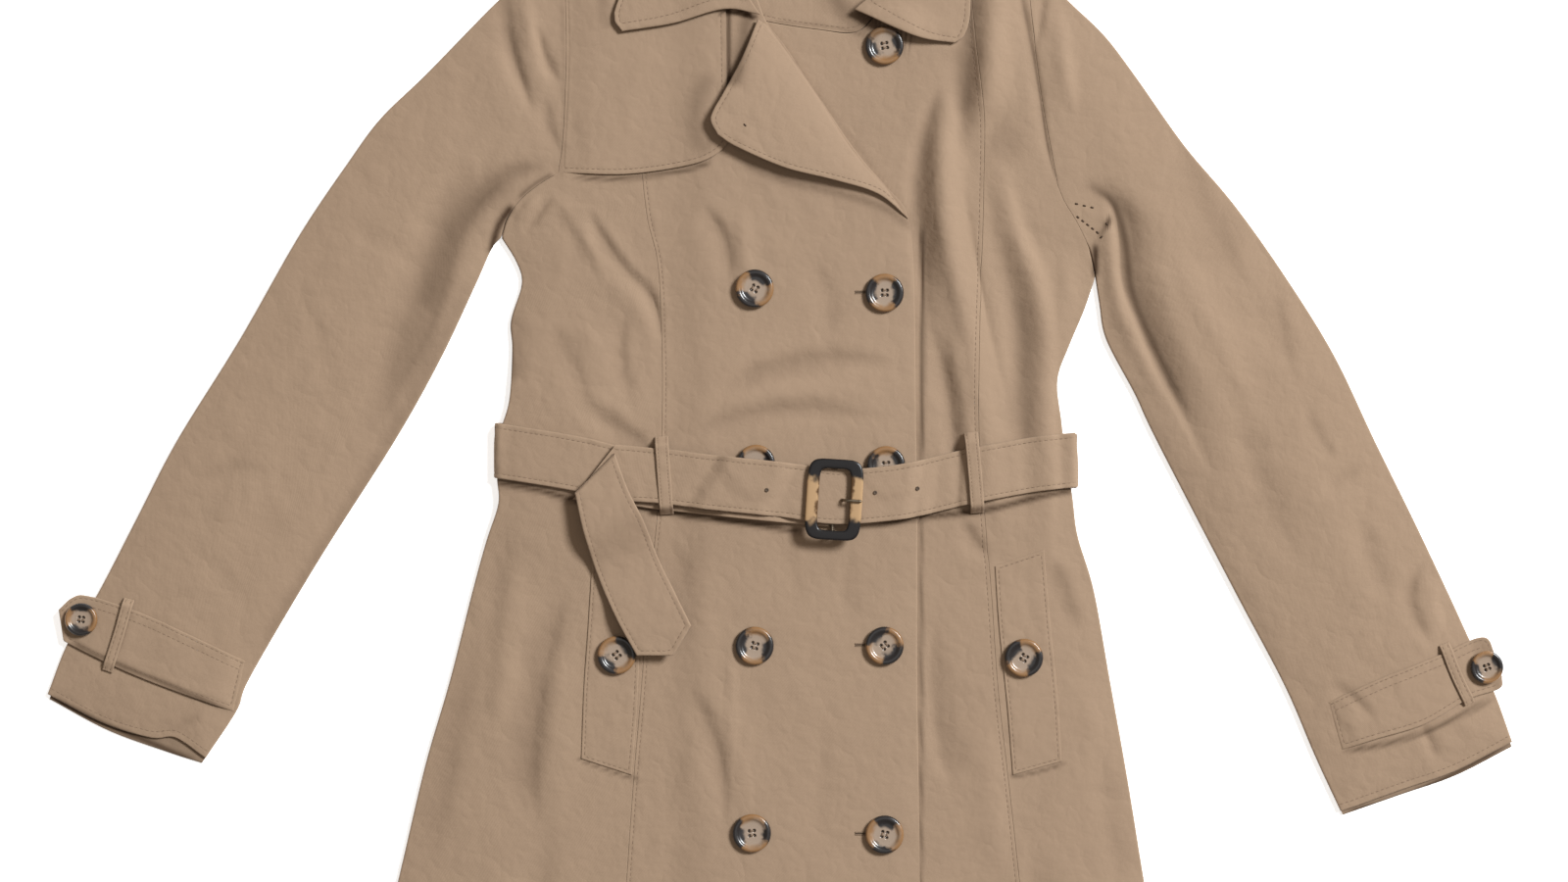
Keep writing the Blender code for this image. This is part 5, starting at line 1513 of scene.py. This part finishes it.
@dataclass
class Sleeve:
    """Upper and under panel of one sleeve, from its cuff to the armhole."""
    side: str
    outer: tuple
    inner: tuple
    cuff: tuple
    cuff_under: tuple
    armpit: tuple
    head: tuple
    gap: float
    hem_row: float = 5.0
    under_step: float = 6.0
    skipped: int = 14

    def edges(self, hem: tuple) -> tuple[Array, Array, Array, Array]:
        """Bottom, top, left and right edge; the inner edge runs on round the armpit."""
        seam = beside(armhole(self.armpit, self.head), self.gap)
        corner = len(smooth(self.armpit)) - 1
        bottom, top = smooth(hem), seam[corner:][::-1]
        left, inner = smooth(self.outer), smooth(self.inner)
        share = shares_of(left)[:, None]
        left = left + (1 - share) * (bottom[0] - left[0]) + share * (top[0] - left[-1])
        inner = inner + (1 - shares_of(inner)[:, None]) * (bottom[-1] - inner[0])
        below, above = (pick(line, shares_of(line), np.linspace(0, 1, count))
                        for line, count in ((inner, 120), (seam[:corner + 1], 31)))
        return bottom, top, left, join(below, above)

    def build(self) -> Sheet:
        """Makes both panels and returns the upper one."""
        # the under panel takes the darker twill, painted shade, and painted shadow where it shows at the
        # cuff
        under = Sheet(f"cloth_sleeve_under_{self.side}", self.edges(self.cuff_under), PANEL,
                      GROUND.floor, (Rim.FREE, Rim.FREE, Rim.RAISED, Rim.RAISED),
                      step=self.under_step, finish=Finish.INSIDE)
        upper = Sheet(f"cloth_sleeve_{self.side}", self.edges(self.cuff), PANEL, GROUND.sleeve,
                      (Rim.FREE, Rim.SEAM, Rim.LOWERED, Rim.LOWERED), ((0, self.hem_row),),
                      sewn=armhole(self.armpit, self.head, self.skipped))
        under.build(f"sleeve_under_{self.side}", painted_shadow_lines)
        upper.build(f"sleeve_top_{self.side}", shading)
        return upper


@dataclass
class Chest:
    """Gun flap and turned-back lapel."""
    flap_step: float = 2.4
    lapel_step: float = 2.2

    def build(self) -> list[Sheet]:
        """Makes both."""
        flap = Sheet("cloth_flap", (smooth(FLAP_BOTTOM), straight(*FLAP_TOP), smooth(FLAP_LEFT),
                                    smooth(FLAP_RIGHT)), TRIM, GROUND.flap,
                     (Rim.FREE, Rim.FREE, Rim.SUNK, Rim.FREE), stitched(0, 3), self.flap_step)
        lapel = Sheet("cloth_lapel", (smooth(LAPEL_BOTTOM), straight(*LAPEL_TOP),
                                      smooth(LAPEL_OUTER), smooth(LAPEL_ROLL)), PANEL, GROUND.lapel,
                      (Rim.FREE, Rim.FREE, Rim.FREE, Rim.FOLD_OVER), stitched(0, 2), self.lapel_step)
        flap.build("gun_flap", shading)
        lapel.build("lapel", shading)
        return [flap, lapel]


@dataclass
class Collar:
    """Fall with two leaves, the stand round the neck and the band that closes it."""
    step: float = 2.2
    stand_step: float = 2.4
    # how far the stand's top lies outside and below the fall's fold, and the band under the front
    stand_out: float = 1.1
    stand_drop: float = 0.3
    band_tuck: float = 1.85

    def build(self) -> list[Sheet]:
        """Makes the three pieces and returns the stitched ones.

        The stand ends just under the fall's fold, from the fold's second knot to its last but one.
        """
        fold, base = smooth(COLLAR_FOLD), smooth(STAND_BASE)
        fall = Sheet("cloth_collar", (smooth(COLLAR_END_RIGHT), smooth(COLLAR_END_LEFT), fold,
                                      smooth(COLLAR_EDGE)), PANEL, GROUND.collar,
                     rows=stitched(0, 1, 3), step=self.step)
        top = beside(fold[SPAN_STEPS:-SPAN_STEPS], self.stand_out) - (0, 0, self.stand_drop)
        stand = Sheet("cloth_stand", (*ends_of(top, base), top, base), TRIM, None, step=self.stand_step)
        low, high = beside(smooth(BAND_BOTTOM), -self.band_tuck), smooth(BAND_TOP)
        band = Sheet("cloth_band", (low, high, *ends_of(low, high)), PANEL, GROUND.body,
                     (Rim.SEAM, Rim.FREE, Rim.SEAM, Rim.FREE), stitched(0), self.step)
        fall.build("collar_fall")
        stand.build("collar_stand")
        band.build("neck_band", shading)
        return [fall, band]


def loop_sheet(name: str, centre: tuple, width: float, base: Height, lift: float) -> Sheet:
    """Loop of cloth along a centre line.

    Args:
        name: the piece's name.
        centre: the centre line.
        width: its width.
        base: the surface it is sewn to at both ends.
        lift: how far its middle stands off the highest place of that surface.

    Returns:
        The sheet.
    """
    line = smooth(centre)
    left, right = beside(line, width / 2), beside(line, -width / 2)
    high = float(np.max(base(line[:, 0], line[:, 1]))) + lift

    def low(x: Array, y: Array) -> Array:
        """Own base + (level - base) x smooth rise from each end."""
        share = line_gap(x, y, line)[1]
        up = ease(np.minimum(share, 1 - share) / LOOP_FOOT)
        return LAY_GAP + (1 - up) * base(x, y) + up * high
    return Sheet(name, (*ends_of(left, right), left, right), LOOP, low,
                 rows=((2, LOOP_ROW), (3, LOOP_ROW)), step=1.0)


@dataclass
class Cuffs:
    """Strap and loop on each cuff; the strap's upper edge has two rows of stitching."""
    step: float = 1.8
    upper_rows: tuple = ((1, 2.2), (1, 7.6))

    def build(self) -> list[Sheet]:
        """Makes both sides."""
        made = []
        for side, top, bottom, centre, ends in (
                ("right", STRAP_RIGHT_TOP, STRAP_RIGHT_BOTTOM, CUFF_LOOP_RIGHT, (Rim.FREE, Rim.SUNK)),
                ("left", STRAP_LEFT_TOP, STRAP_LEFT_BOTTOM, CUFF_LOOP_LEFT, (Rim.SUNK, Rim.FREE))):
            low, high = smooth(bottom), smooth(top)
            strap = Sheet(f"cloth_strap_{side}", (low, high, *ends_of(low, high)), TRIM, GROUND.strap,
                          (Rim.FREE, Rim.FREE, *ends),
                          (*stitched(0), *self.upper_rows, *stitched(2, 3)), self.step)
            band = loop_sheet(f"cloth_cuff_loop_{side}", centre, CUFF_LOOP_WIDTH,
                              lambda x, y: GROUND.sleeve(x, y) + PANEL, TRIM + LAY_GAP)
            strap.build(f"cuff_strap_{side}", shading)
            band.build(f"cuff_loop_{side}")
            made += [strap, band]
        return made


@dataclass
class Welts:
    """A slanted pocket welt on each side, sewn down all round."""
    row: float = 2.4
    step: float = 2.0

    def build(self) -> list[Sheet]:
        """Makes both."""
        made = []
        for side, left, right in (("right", WELT_RIGHT_OUTER, WELT_RIGHT_INNER),
                                  ("left", WELT_LEFT_INNER, WELT_LEFT_OUTER)):
            left, right = smooth(left), smooth(right)
            made.append(Sheet(f"cloth_welt_{side}", (*ends_of(left, right), left, right), WELT,
                              GROUND.welt, rows=tuple((edge, self.row) for edge in range(4)),
                              step=self.step))
            made[-1].build(f"welt_{side}", shading)
        return made


@dataclass
class Belt:
    """Belt round the waist with its fastened end, hanging tail and loops.

    The turns are the x at which it goes round each side, `outer` is the radius of the back
    length there, and `level` the length over which a front length evens out before its turn.
    """
    turn_right: float = -204.6
    turn_left: float = 212.4
    outer: float = 5.2
    level: float = 12.0
    step: float = 1.9
    back_step: float = 3.0

    def curl(self, points: Array, at: float, radius: float, way: float, rise: float) -> Array:
        """Bends a belt's end through a quarter circle where it goes round the coat's side.

        Past `at`, x = at + way x radius x sin(arc / radius) and z changes by
        rise x radius x (1 - cos(arc / radius)).

        Args:
            points: the length's grid.
            at: x where the bend starts.
            radius: its radius.
            way: +1 towards the wearer's left, -1 towards the right.
            rise: +1 upwards, -1 down.

        Returns:
            The bent grid.
        """
        arc = np.clip((points[..., 0] - at) * way, 0.0, radius * np.pi / 2) / radius
        x = np.where(arc > 0, at + way * radius * np.sin(arc), points[..., 0])
        z = points[..., 2] + rise * radius * (1 - np.cos(arc))
        return np.dstack([x, points[..., 1], z])

    def round_side(self, points: Array, at: float, way: float) -> Array:
        """Brings a front length's end down to meet the back length half way round the side."""
        end = points[:, -1 if way > 0 else 0, 2].mean()
        level = step(way * (points[..., 0] - at), -self.level, 0.0)
        points[..., 2] = points[..., 2] * (1 - level) + end * level
        return self.curl(points, at, end - self.outer, way, -1)

    def length(self, name: str, centre: tuple, low: Height, ends: tuple, slant: float = 0.0) -> Sheet:
        """One length of belt along a centre line.

        Args:
            name: the piece's name.
            centre: the centre line.
            low: its underside.
            ends: its rims at both ends.
            slant: how far its left end leans.

        Returns:
            The sheet.
        """
        line = smooth(centre)
        edges = [beside(line, side * BELT_WIDTH / 2) for side in (-1, 1)]
        for edge, side in zip(edges, (-1, 1)):
            edge[:, 0] += side * slant / 2 * ease(1 - shares_of(edge) / SLANT_SHARE)
        return Sheet(name, (*edges, *ends_of(*edges)), BELT, low, (Rim.FREE, Rim.FREE, *ends),
                     stitched(0, 1), self.step, stiff=BELT_STIFFNESS, finish=Finish.BELTING)

    def back(self) -> Sheet:
        """The length behind the waist, with both its ends turned up round the sides."""
        made = self.length("cloth_belt_back", BELT_BACK, GROUND.floor, (Rim.SEAM, Rim.SEAM))
        made.step = self.back_step
        quarter = self.outer * math.pi / 2
        low, high, left, right = made.edges
        for at, edge, end in ((0, left, self.turn_right - quarter), (-1, right, self.turn_left + quarter)):
            low[at, 0] = high[at, 0] = edge[:, 0] = end
        made.extra = lambda p: self.curl(self.curl(p, self.turn_right, self.outer, -1, 1),
                                         self.turn_left, self.outer, 1, 1)
        return made

    def tail(self) -> Sheet:
        """The free end folded down over itself, with its mitred tip."""
        left, right = smooth(TAIL_LEFT), smooth(TAIL_RIGHT)
        tip = join(straight(TAIL_TIP[0], TAIL_TIP[1], 12), straight(TAIL_TIP[1], TAIL_TIP[2], 12))
        even = np.linspace(0, 1, 9)
        middle = smooth((pick(left, shares_of(left), even) + pick(right, shares_of(right), even)) / 2)

        def low(x: Array, y: Array) -> Array:
            """Front + height kept for each share of the tail's length."""
            share = line_gap(x, y, middle)[1]
            return GROUND.front_top(x, y) + np.interp(share, *smooth(TAIL_RISE).T)
        return Sheet("cloth_belt_tail", (tip, straight(left[-1], right[-1]), left, right), BELT, low,
                     (Rim.FREE, Rim.FOLD_OVER, Rim.FREE, Rim.FREE), stitched(0, 2, 3), self.step,
                     finish=Finish.BELTING)

    def build(self) -> tuple[list[Sheet], list[Sheet]]:
        """Makes the belt and its loops, and returns the front lengths and the loops."""
        held = self.length("cloth_belt_held", BELT_BUCKLE_END, GROUND.buckle_end, (Rim.SEAM, Rim.FREE))
        free = self.length("cloth_belt_free", BELT_FREE, GROUND.free_end, (Rim.FOLD_UNDER, Rim.SEAM),
                           FOLD_SLANT)
        held.extra = lambda p: self.round_side(p, self.turn_right, -1)
        free.extra = lambda p: self.round_side(p, self.turn_left, 1)
        tail = self.tail()
        for piece, node in ((self.back(), "belt_back"), (held, "belt_buckle_end"),
                            (free, "belt_free_end"), (tail, "belt_tail")):
            piece.build(node)
        loops = []
        for side, centre, lift in (("right", BELT_LOOP_RIGHT, 2 * BELT + BELT_GAP + BELT_LAY),
                                   ("left", BELT_LOOP_LEFT, BELT + BELT_LAY)):
            loops.append(loop_sheet(f"cloth_belt_loop_{side}", centre, BELT_LOOP_WIDTH,
                                    GROUND.front_top, lift))
            loops[-1].build(f"belt_loop_{side}")
        return [held, free, tail], loops


@dataclass
class Button:
    """Turned four-hole button: dished face, raised rim and rounded edge."""
    name: str
    centre: tuple
    patch: float
    radius: float
    base: Height
    wall: float
    around: int = 64
    hole_ring: float = 2.5
    hole_radius: float = 1.15
    hole_depth: float = 1.5
    thread_level: float = 2.75
    thread_gap: float = 0.28
    thread_width: float = 0.55

    def profile(self) -> Array:
        """Half section (r, z), from the top's centre to the bottom's, with even rows on the dish."""
        dense = smooth(np.array(BUTTON_SECTION) * (self.radius, 1))[::3]
        dense[:, 0] = np.clip(dense[:, 0], 0.0, self.radius)
        inner = np.column_stack([np.linspace(0, self.radius * 0.4, 15), np.full(15, DISH_HEIGHT)])
        return np.vstack([inner, dense[(dense[:, 0] > self.radius * 0.42) | (dense[:, 1] < 1.2)]])

    def build(self, thread: Thread) -> None:
        """Makes the button on the highest place beneath it, and sews it on."""
        angle = angles(12)
        ring = np.array([0.0, 0.5, 0.8])[:, None] * self.radius
        under = self.wall + self.base(self.centre[0] + ring * np.cos(angle),
                                      self.centre[1] + ring * np.sin(angle))
        place = placed(self.centre, float(np.max(under)) + EDGE_GAP, math.radians(self.patch))
        profile = self.profile()
        turn = angles(self.around)
        x, y = profile[:, :1] * np.cos(turn), profile[:, :1] * np.sin(turn)
        z = np.repeat(profile[:, 1:], self.around, axis=1)
        reach = self.hole_ring * self.radius / BUTTON_RADIUS
        corners = [(reach * math.cos(a), reach * math.sin(a))
                   for a in math.pi / 4 + np.arange(4) * math.pi / 2]
        gap = np.min([np.hypot(x - a, y - b) for a, b in corners], axis=0)
        hole = 1 - step(gap, self.hole_radius * 0.75, self.hole_radius * 1.15)
        hole[profile[:, 1] < 2.0] = 0.0
        points = np.stack([x, y, z - self.hole_depth * hole], axis=-1)
        number = np.arange(x.size).reshape(x.shape)
        number[0], number[-1] = number[0, 0], number[-1, 0]
        number = np.hstack([number, number[:, :1]])
        dish = np.stack([x, y], axis=-1).reshape(-1, 2) / self.radius
        points = through(place, points.reshape(-1, 3))
        # painted shade in the holes, and painted shadow where the listed lines reach a button, as under the
        # collar's leaf
        dark = np.maximum(hole.ravel(), painted_shadow_lines(points[:, 0], points[:, 1]))
        mesh_object(f"horn_{self.name}", points, triangles(grid_faces(number)[:, ::-1]),
                    Finish.BUTTON, f"button_{self.name}", {"dish": dish}, dark)
        for pair in ((0, 1), (3, 2)):
            for offset in (-self.thread_gap, 0.0, self.thread_gap):
                ends = [np.array([[corners[i][0], corners[i][1] + offset, self.thread_level]])
                        for i in pair]
                thread.stitches(*(through(place, end) for end in ends), UP, self.thread_width)


@dataclass
class Buttons:
    """Every button, the buttonholes of those that close the front, and the bar tacks."""
    fastened: tuple = ("chest_left", "hip_left", "skirt_left")
    hole_place: tuple = (12.0, 0.4)
    hole_length: float = 9.5
    hole_turn: float = 0.02
    hole_stitches: int = 30
    stitch_side: float = 0.85
    stitch_half: float = 0.6
    stitch_width: float = 0.62
    slit_half: float = 0.3

    def buttons(self) -> list[Button]:
        """The buttons, each with what it lies on."""
        made = []
        for row in FRONT_BUTTONS:
            on_over = row[1][0] < cross_at(FRONT_EDGE, row[1][1], 1) and row[0] != "top_left"
            made.append(Button(*row, BUTTON_RADIUS, GROUND.over if on_over else GROUND.body, PANEL))
        made += [Button(*row, BUTTON_RADIUS, GROUND.welt, WELT) for row in POCKET_BUTTONS]
        return made + [Button(*row, CUFF_BUTTON_RADIUS, GROUND.strap, TRIM) for row in CUFF_BUTTONS]

    def hole(self, thread: Thread, start: Array) -> Array:
        """Whips a buttonhole with short stitches at both sides, and returns its slit's corners."""
        along = np.linspace(0, self.hole_length, self.hole_stitches)[:, None]
        way = np.array([math.cos(self.hole_turn), math.sin(self.hole_turn)])
        side = np.array([-way[1], way[0]])
        for sign in (-1, 1):
            middle = start + along * way + sign * self.stitch_side * side
            ends = [on_face(GROUND.over, middle + half * side, 0.08)
                    for half in (-sign * self.stitch_half, sign * self.stitch_half)]
            thread.stitches(*ends, UP, self.stitch_width)
        corners = np.array([(0, -1), (1, -1), (1, 1), (0, 1)]) * (self.hole_length, self.slit_half)
        return on_face(GROUND.over, start + corners[:, :1] * way + corners[:, 1:] * side, 0.1)

    def build(self) -> None:
        """Makes the buttons, their thread, the buttonholes and the tacks."""
        thread = Thread("sewn_buttons")
        for button in self.buttons():
            button.build(thread)
        slits = [self.hole(thread, np.array([x - self.hole_place[0] - self.hole_length,
                                             y + self.hole_place[1]]))
                 for name, (x, y), _ in FRONT_BUTTONS if name in self.fastened]
        thread.build()
        tacks = Thread("sewn_tacks", Finish.TACK, pitch=4.4, length=3.0, width=1.3)
        for layer, start, end in TACKS:
            base = GROUND.lapel if layer == "lapel" else GROUND.sleeve
            line = on_face(base, straight(start, end, 16), 0.05)
            tacks.run(line, np.repeat(UP, len(line), axis=0))
        tacks.build()
        points = np.concatenate(slits)
        # a dark quad of painted shade in each buttonhole's slit
        mesh_object("buttonhole_slit_shade", points, np.arange(len(points)).reshape(-1, 4), Finish.SLIT)


@dataclass
class Buckle:
    """Frame on the belt, centre bar under it, prong through the eyelet, and the belt's eyelets.

    `rest` is the frame's height above the front, and `outer` and `inner` round its corners.
    """
    size: tuple = (41.0, 59.0)
    opening: tuple = (23.0, 45.0)
    outer: float = 6.0
    inner: float = 2.6
    thick: float = 3.4
    turn: float = math.radians(-3.6)
    rest: float = 8.2
    bar_radius: float = 1.3
    bar_inset: float = 0.4
    bar_bend: float = 0.85
    prong_radius: float = 1.1
    prong_x: float = 5.8
    eyelet_radius: float = 1.05
    eyelet_thread: float = 0.45
    around: int = 160
    section: int = 28

    def outline(self, size: tuple, corner: float) -> Array:
        """Rounded rectangle, as many points as `around`, evenly by angle from its middle."""
        half = np.array(size) / 2
        angle = angles(self.around)
        power = 2 / (corner / half.min() * 1.25)
        ray = np.stack([np.cos(angle), np.sin(angle)], axis=1)
        scale = (np.abs(ray[:, 0] / half[0])**power + np.abs(ray[:, 1] / half[1])**power)**(-1 / power)
        return ray * scale[:, None]

    def frame(self, place: Matrix) -> None:
        """The frame: a rounded section, (q, z) round a superellipse, swept between two outlines."""
        outer, inner = self.outline(self.size, self.outer), self.outline(self.opening, self.inner)
        turn = angles(self.section)
        q = 0.5 + 0.5 * np.sign(np.cos(turn)) * np.abs(np.cos(turn))**0.55
        z = self.thick * (0.5 + 0.5 * np.sign(np.sin(turn)) * np.abs(np.sin(turn))**0.62)
        plan = inner[:, None] * (1 - q)[None, :, None] + outer[:, None] * q[None, :, None]
        points = np.dstack([plan, np.broadcast_to(z, plan.shape[:2])])
        number = np.arange(points.size // 3).reshape(plan.shape[:2])
        number = np.pad(number, ((0, 1), (0, 1)), "wrap")
        dish = plan.reshape(-1, 2) / (np.array(self.size) / 2)
        mesh_object("horn_buckle", through(place, points.reshape(-1, 3)), grid_faces(number)[:, ::-1],
                    Finish.BUCKLE, "buckle_frame", {"dish": dish})

    def wire(self, name: str, knots: tuple, radius: float, place: Matrix) -> None:
        """A round wire through knots in the buckle's own frame."""
        points, faces = tube(smooth(knots), radius)
        mesh_object(f"brass_{name}", through(place, points), triangles(faces), Finish.METAL,
                    f"buckle_{name}")

    def eyelets(self) -> None:
        """Stitched eyelets along the free end, each a dark disc of painted shade for the hole, in a ring of
        thread.
        """
        turn = np.linspace(0, 2 * np.pi, 33)
        number = np.arange(len(turn) - 1)
        fan = np.column_stack([np.full_like(number, len(number)), number, (number + 1) % len(number)])
        across = np.linspace(-BELT_WIDTH / 2, BELT_WIDTH / 2, 9)
        points, faces = [], []
        for centre in EYELETS:
            under = GROUND.free_end(np.full(9, float(centre[0])), centre[1] + across)
            level = under[4] + BELT_STIFFNESS * (under.max() - under[4]) + BELT
            path = np.column_stack([centre[0] + self.eyelet_radius * np.cos(turn),
                                    centre[1] + self.eyelet_radius * np.sin(turn),
                                    np.full(len(turn), level + 0.3)])
            ring, quads = tube(path, self.eyelet_thread, 8)
            # the hole: a dark disc of painted shade
            disc = np.vstack([path[:-1], [*centre, level + 0.34]])
            for piece, own in ((ring, triangles(quads)), (disc, fan)):
                faces.append(own + sum(map(len, points)))
                points.append(piece)
        mesh_object("sewn_eyelets", np.vstack(points), np.vstack(faces), Finish.EYELET)

    def build(self) -> None:
        """Makes the frame, the bar, the prong and the eyelets."""
        x, y = (middle + (np.linspace(0, 1, 9) - 0.5) * size
                for middle, size in zip(BUCKLE_CENTRE, self.size))
        level = float(np.max(GROUND.front_top(*np.meshgrid(x, y))))
        place = placed(BUCKLE_CENTRE, level + self.rest, self.turn)
        self.frame(place)
        leg = self.opening[1] / 2 + self.bar_radius + self.bar_inset
        deep, bend = self.bar_radius + EDGE_GAP - self.rest, self.bar_bend
        self.wire("bar", ((0, leg, -EDGE_GAP), (0, leg, deep + bend), (0, leg - bend, deep),
                          (0, bend - leg, deep), (0, -leg, deep + bend), (0, -leg, -EDGE_GAP)),
                  self.bar_radius, place)
        near_bar = self.bar_radius + self.prong_radius + EDGE_GAP
        above_belt = 2 * BELT + BELT_LAY + BELT_GAP - self.rest + 0.6
        on_frame = self.thick + self.prong_radius + 0.15
        self.wire("prong", ((near_bar, 0, deep), (near_bar + 1.2, 0, deep + 0.2),
                            (self.prong_x, 0, deep + 1.4), (self.prong_x, 0, above_belt),
                            (self.prong_x + 1.6, 0, above_belt + 2.0),
                            (self.opening[0] / 2 - 1.6, 0, on_frame),
                            (self.size[0] / 2 - 1.5, 0, on_frame)), self.prong_radius, place)
        self.eyelets()


@dataclass
class Studio:
    """Pale floor, soft key light from beyond the collar, sky fill and the camera above.

    Lamps, rows: name, place, size and watts; each is aimed at the middle of the coat.
    """
    lamps: tuple = (("key", (6.3, 4.2, 7.1), (3.2, 2.4), 1590.0),
                    ("top", (-0.2, -0.1, 3.4), (2.6, 2.0), 8.0))
    lamp_colour: tuple = (0.965, 0.99, 1.0)
    sky_colour: tuple = (1.0, 0.87, 0.73, 1.0)
    sky_strength: float = 0.275
    floor_half: float = 9.0
    floor_z: float = -0.0002
    floor_colour: tuple = (0.93, 0.93, 0.93, 1.0)
    floor_glow: float = 0.62
    eye: tuple = (0.0030, 0.0470, 2.5)
    lens: float = 78.1

    def put(self, name: str, data: bpy.types.ID, place: tuple = (0.0, 0.0, 0.0)) -> bpy.types.Object:
        """An object in the scene that holds a mesh, a lamp or the camera."""
        made = bpy.data.objects.new(name, data)
        made.location = place
        bpy.context.scene.collection.objects.link(made)
        return made

    def floor(self) -> None:
        """A large square that glows a little."""
        mesh = bpy.data.meshes.new("floor")
        half, z = self.floor_half, self.floor_z
        mesh.from_pydata([(-half, -half, z), (half, -half, z), (half, half, z), (-half, half, z)],
                         [], [(0, 1, 2, 3)])
        white = Plain("floor_white", self.floor_colour).make()
        glow = white.node_tree.nodes["Principled BSDF"].inputs
        glow["Emission Color"].default_value = (1.0, 1.0, 1.0, 1.0)
        glow["Emission Strength"].default_value = self.floor_glow
        mesh.materials.append(white)
        self.put("floor", mesh)

    def build(self) -> None:
        """Makes the floor, the lights and the camera."""
        scene = bpy.context.scene
        self.floor()
        for name, place, size, watts in self.lamps:
            lamp = bpy.data.lights.new(name, "AREA")
            lamp.shape = "RECTANGLE"
            lamp.size, lamp.size_y = size
            lamp.energy = watts
            lamp.color = self.lamp_colour
            aim = (-Vector(place)).to_track_quat("-Z", "Y")
            self.put(name, lamp, place).rotation_euler = aim.to_euler()
        scene.world = bpy.data.worlds.new("studio")
        scene.world.use_nodes = True
        sky = scene.world.node_tree.nodes["Background"].inputs
        sky["Color"].default_value = self.sky_colour
        sky["Strength"].default_value = self.sky_strength
        scene.view_settings.view_transform = "Standard"
        camera = bpy.data.cameras.new("camera")
        camera.lens = self.lens
        scene.camera = self.put("camera", camera, self.eye)


def main() -> None:
    """Builds the coat in order, then the studio."""
    logging.basicConfig(level=logging.INFO, format="%(message)s")
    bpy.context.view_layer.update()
    body = Body().build()
    sleeves = [Sleeve(*row).build() for row in (
        ("right", SLEEVE_RIGHT_OUTER, SLEEVE_RIGHT_INNER, CUFF_RIGHT, CUFF_RIGHT_UNDER, ARMPIT_RIGHT,
         HEAD_RIGHT, SEAM_GAP),
        ("left", SLEEVE_LEFT_OUTER, SLEEVE_LEFT_INNER, CUFF_LEFT, CUFF_LEFT_UNDER, ARMPIT_LEFT,
         HEAD_LEFT, -SEAM_GAP))]
    trim = Chest().build() + Collar().build() + Cuffs().build() + Welts().build()
    belt, loops = Belt().build()
    Thread("sewn_shell").build(body + sleeves + trim)
    Thread("sewn_loops", pitch=2.6, length=2.0, width=0.4).build(loops)
    Thread("sewn_belt", Finish.BELT_THREAD).build(belt)
    Buttons().build()
    Buckle().build()
    Studio().build()


if __name__ == "__main__":
    main()
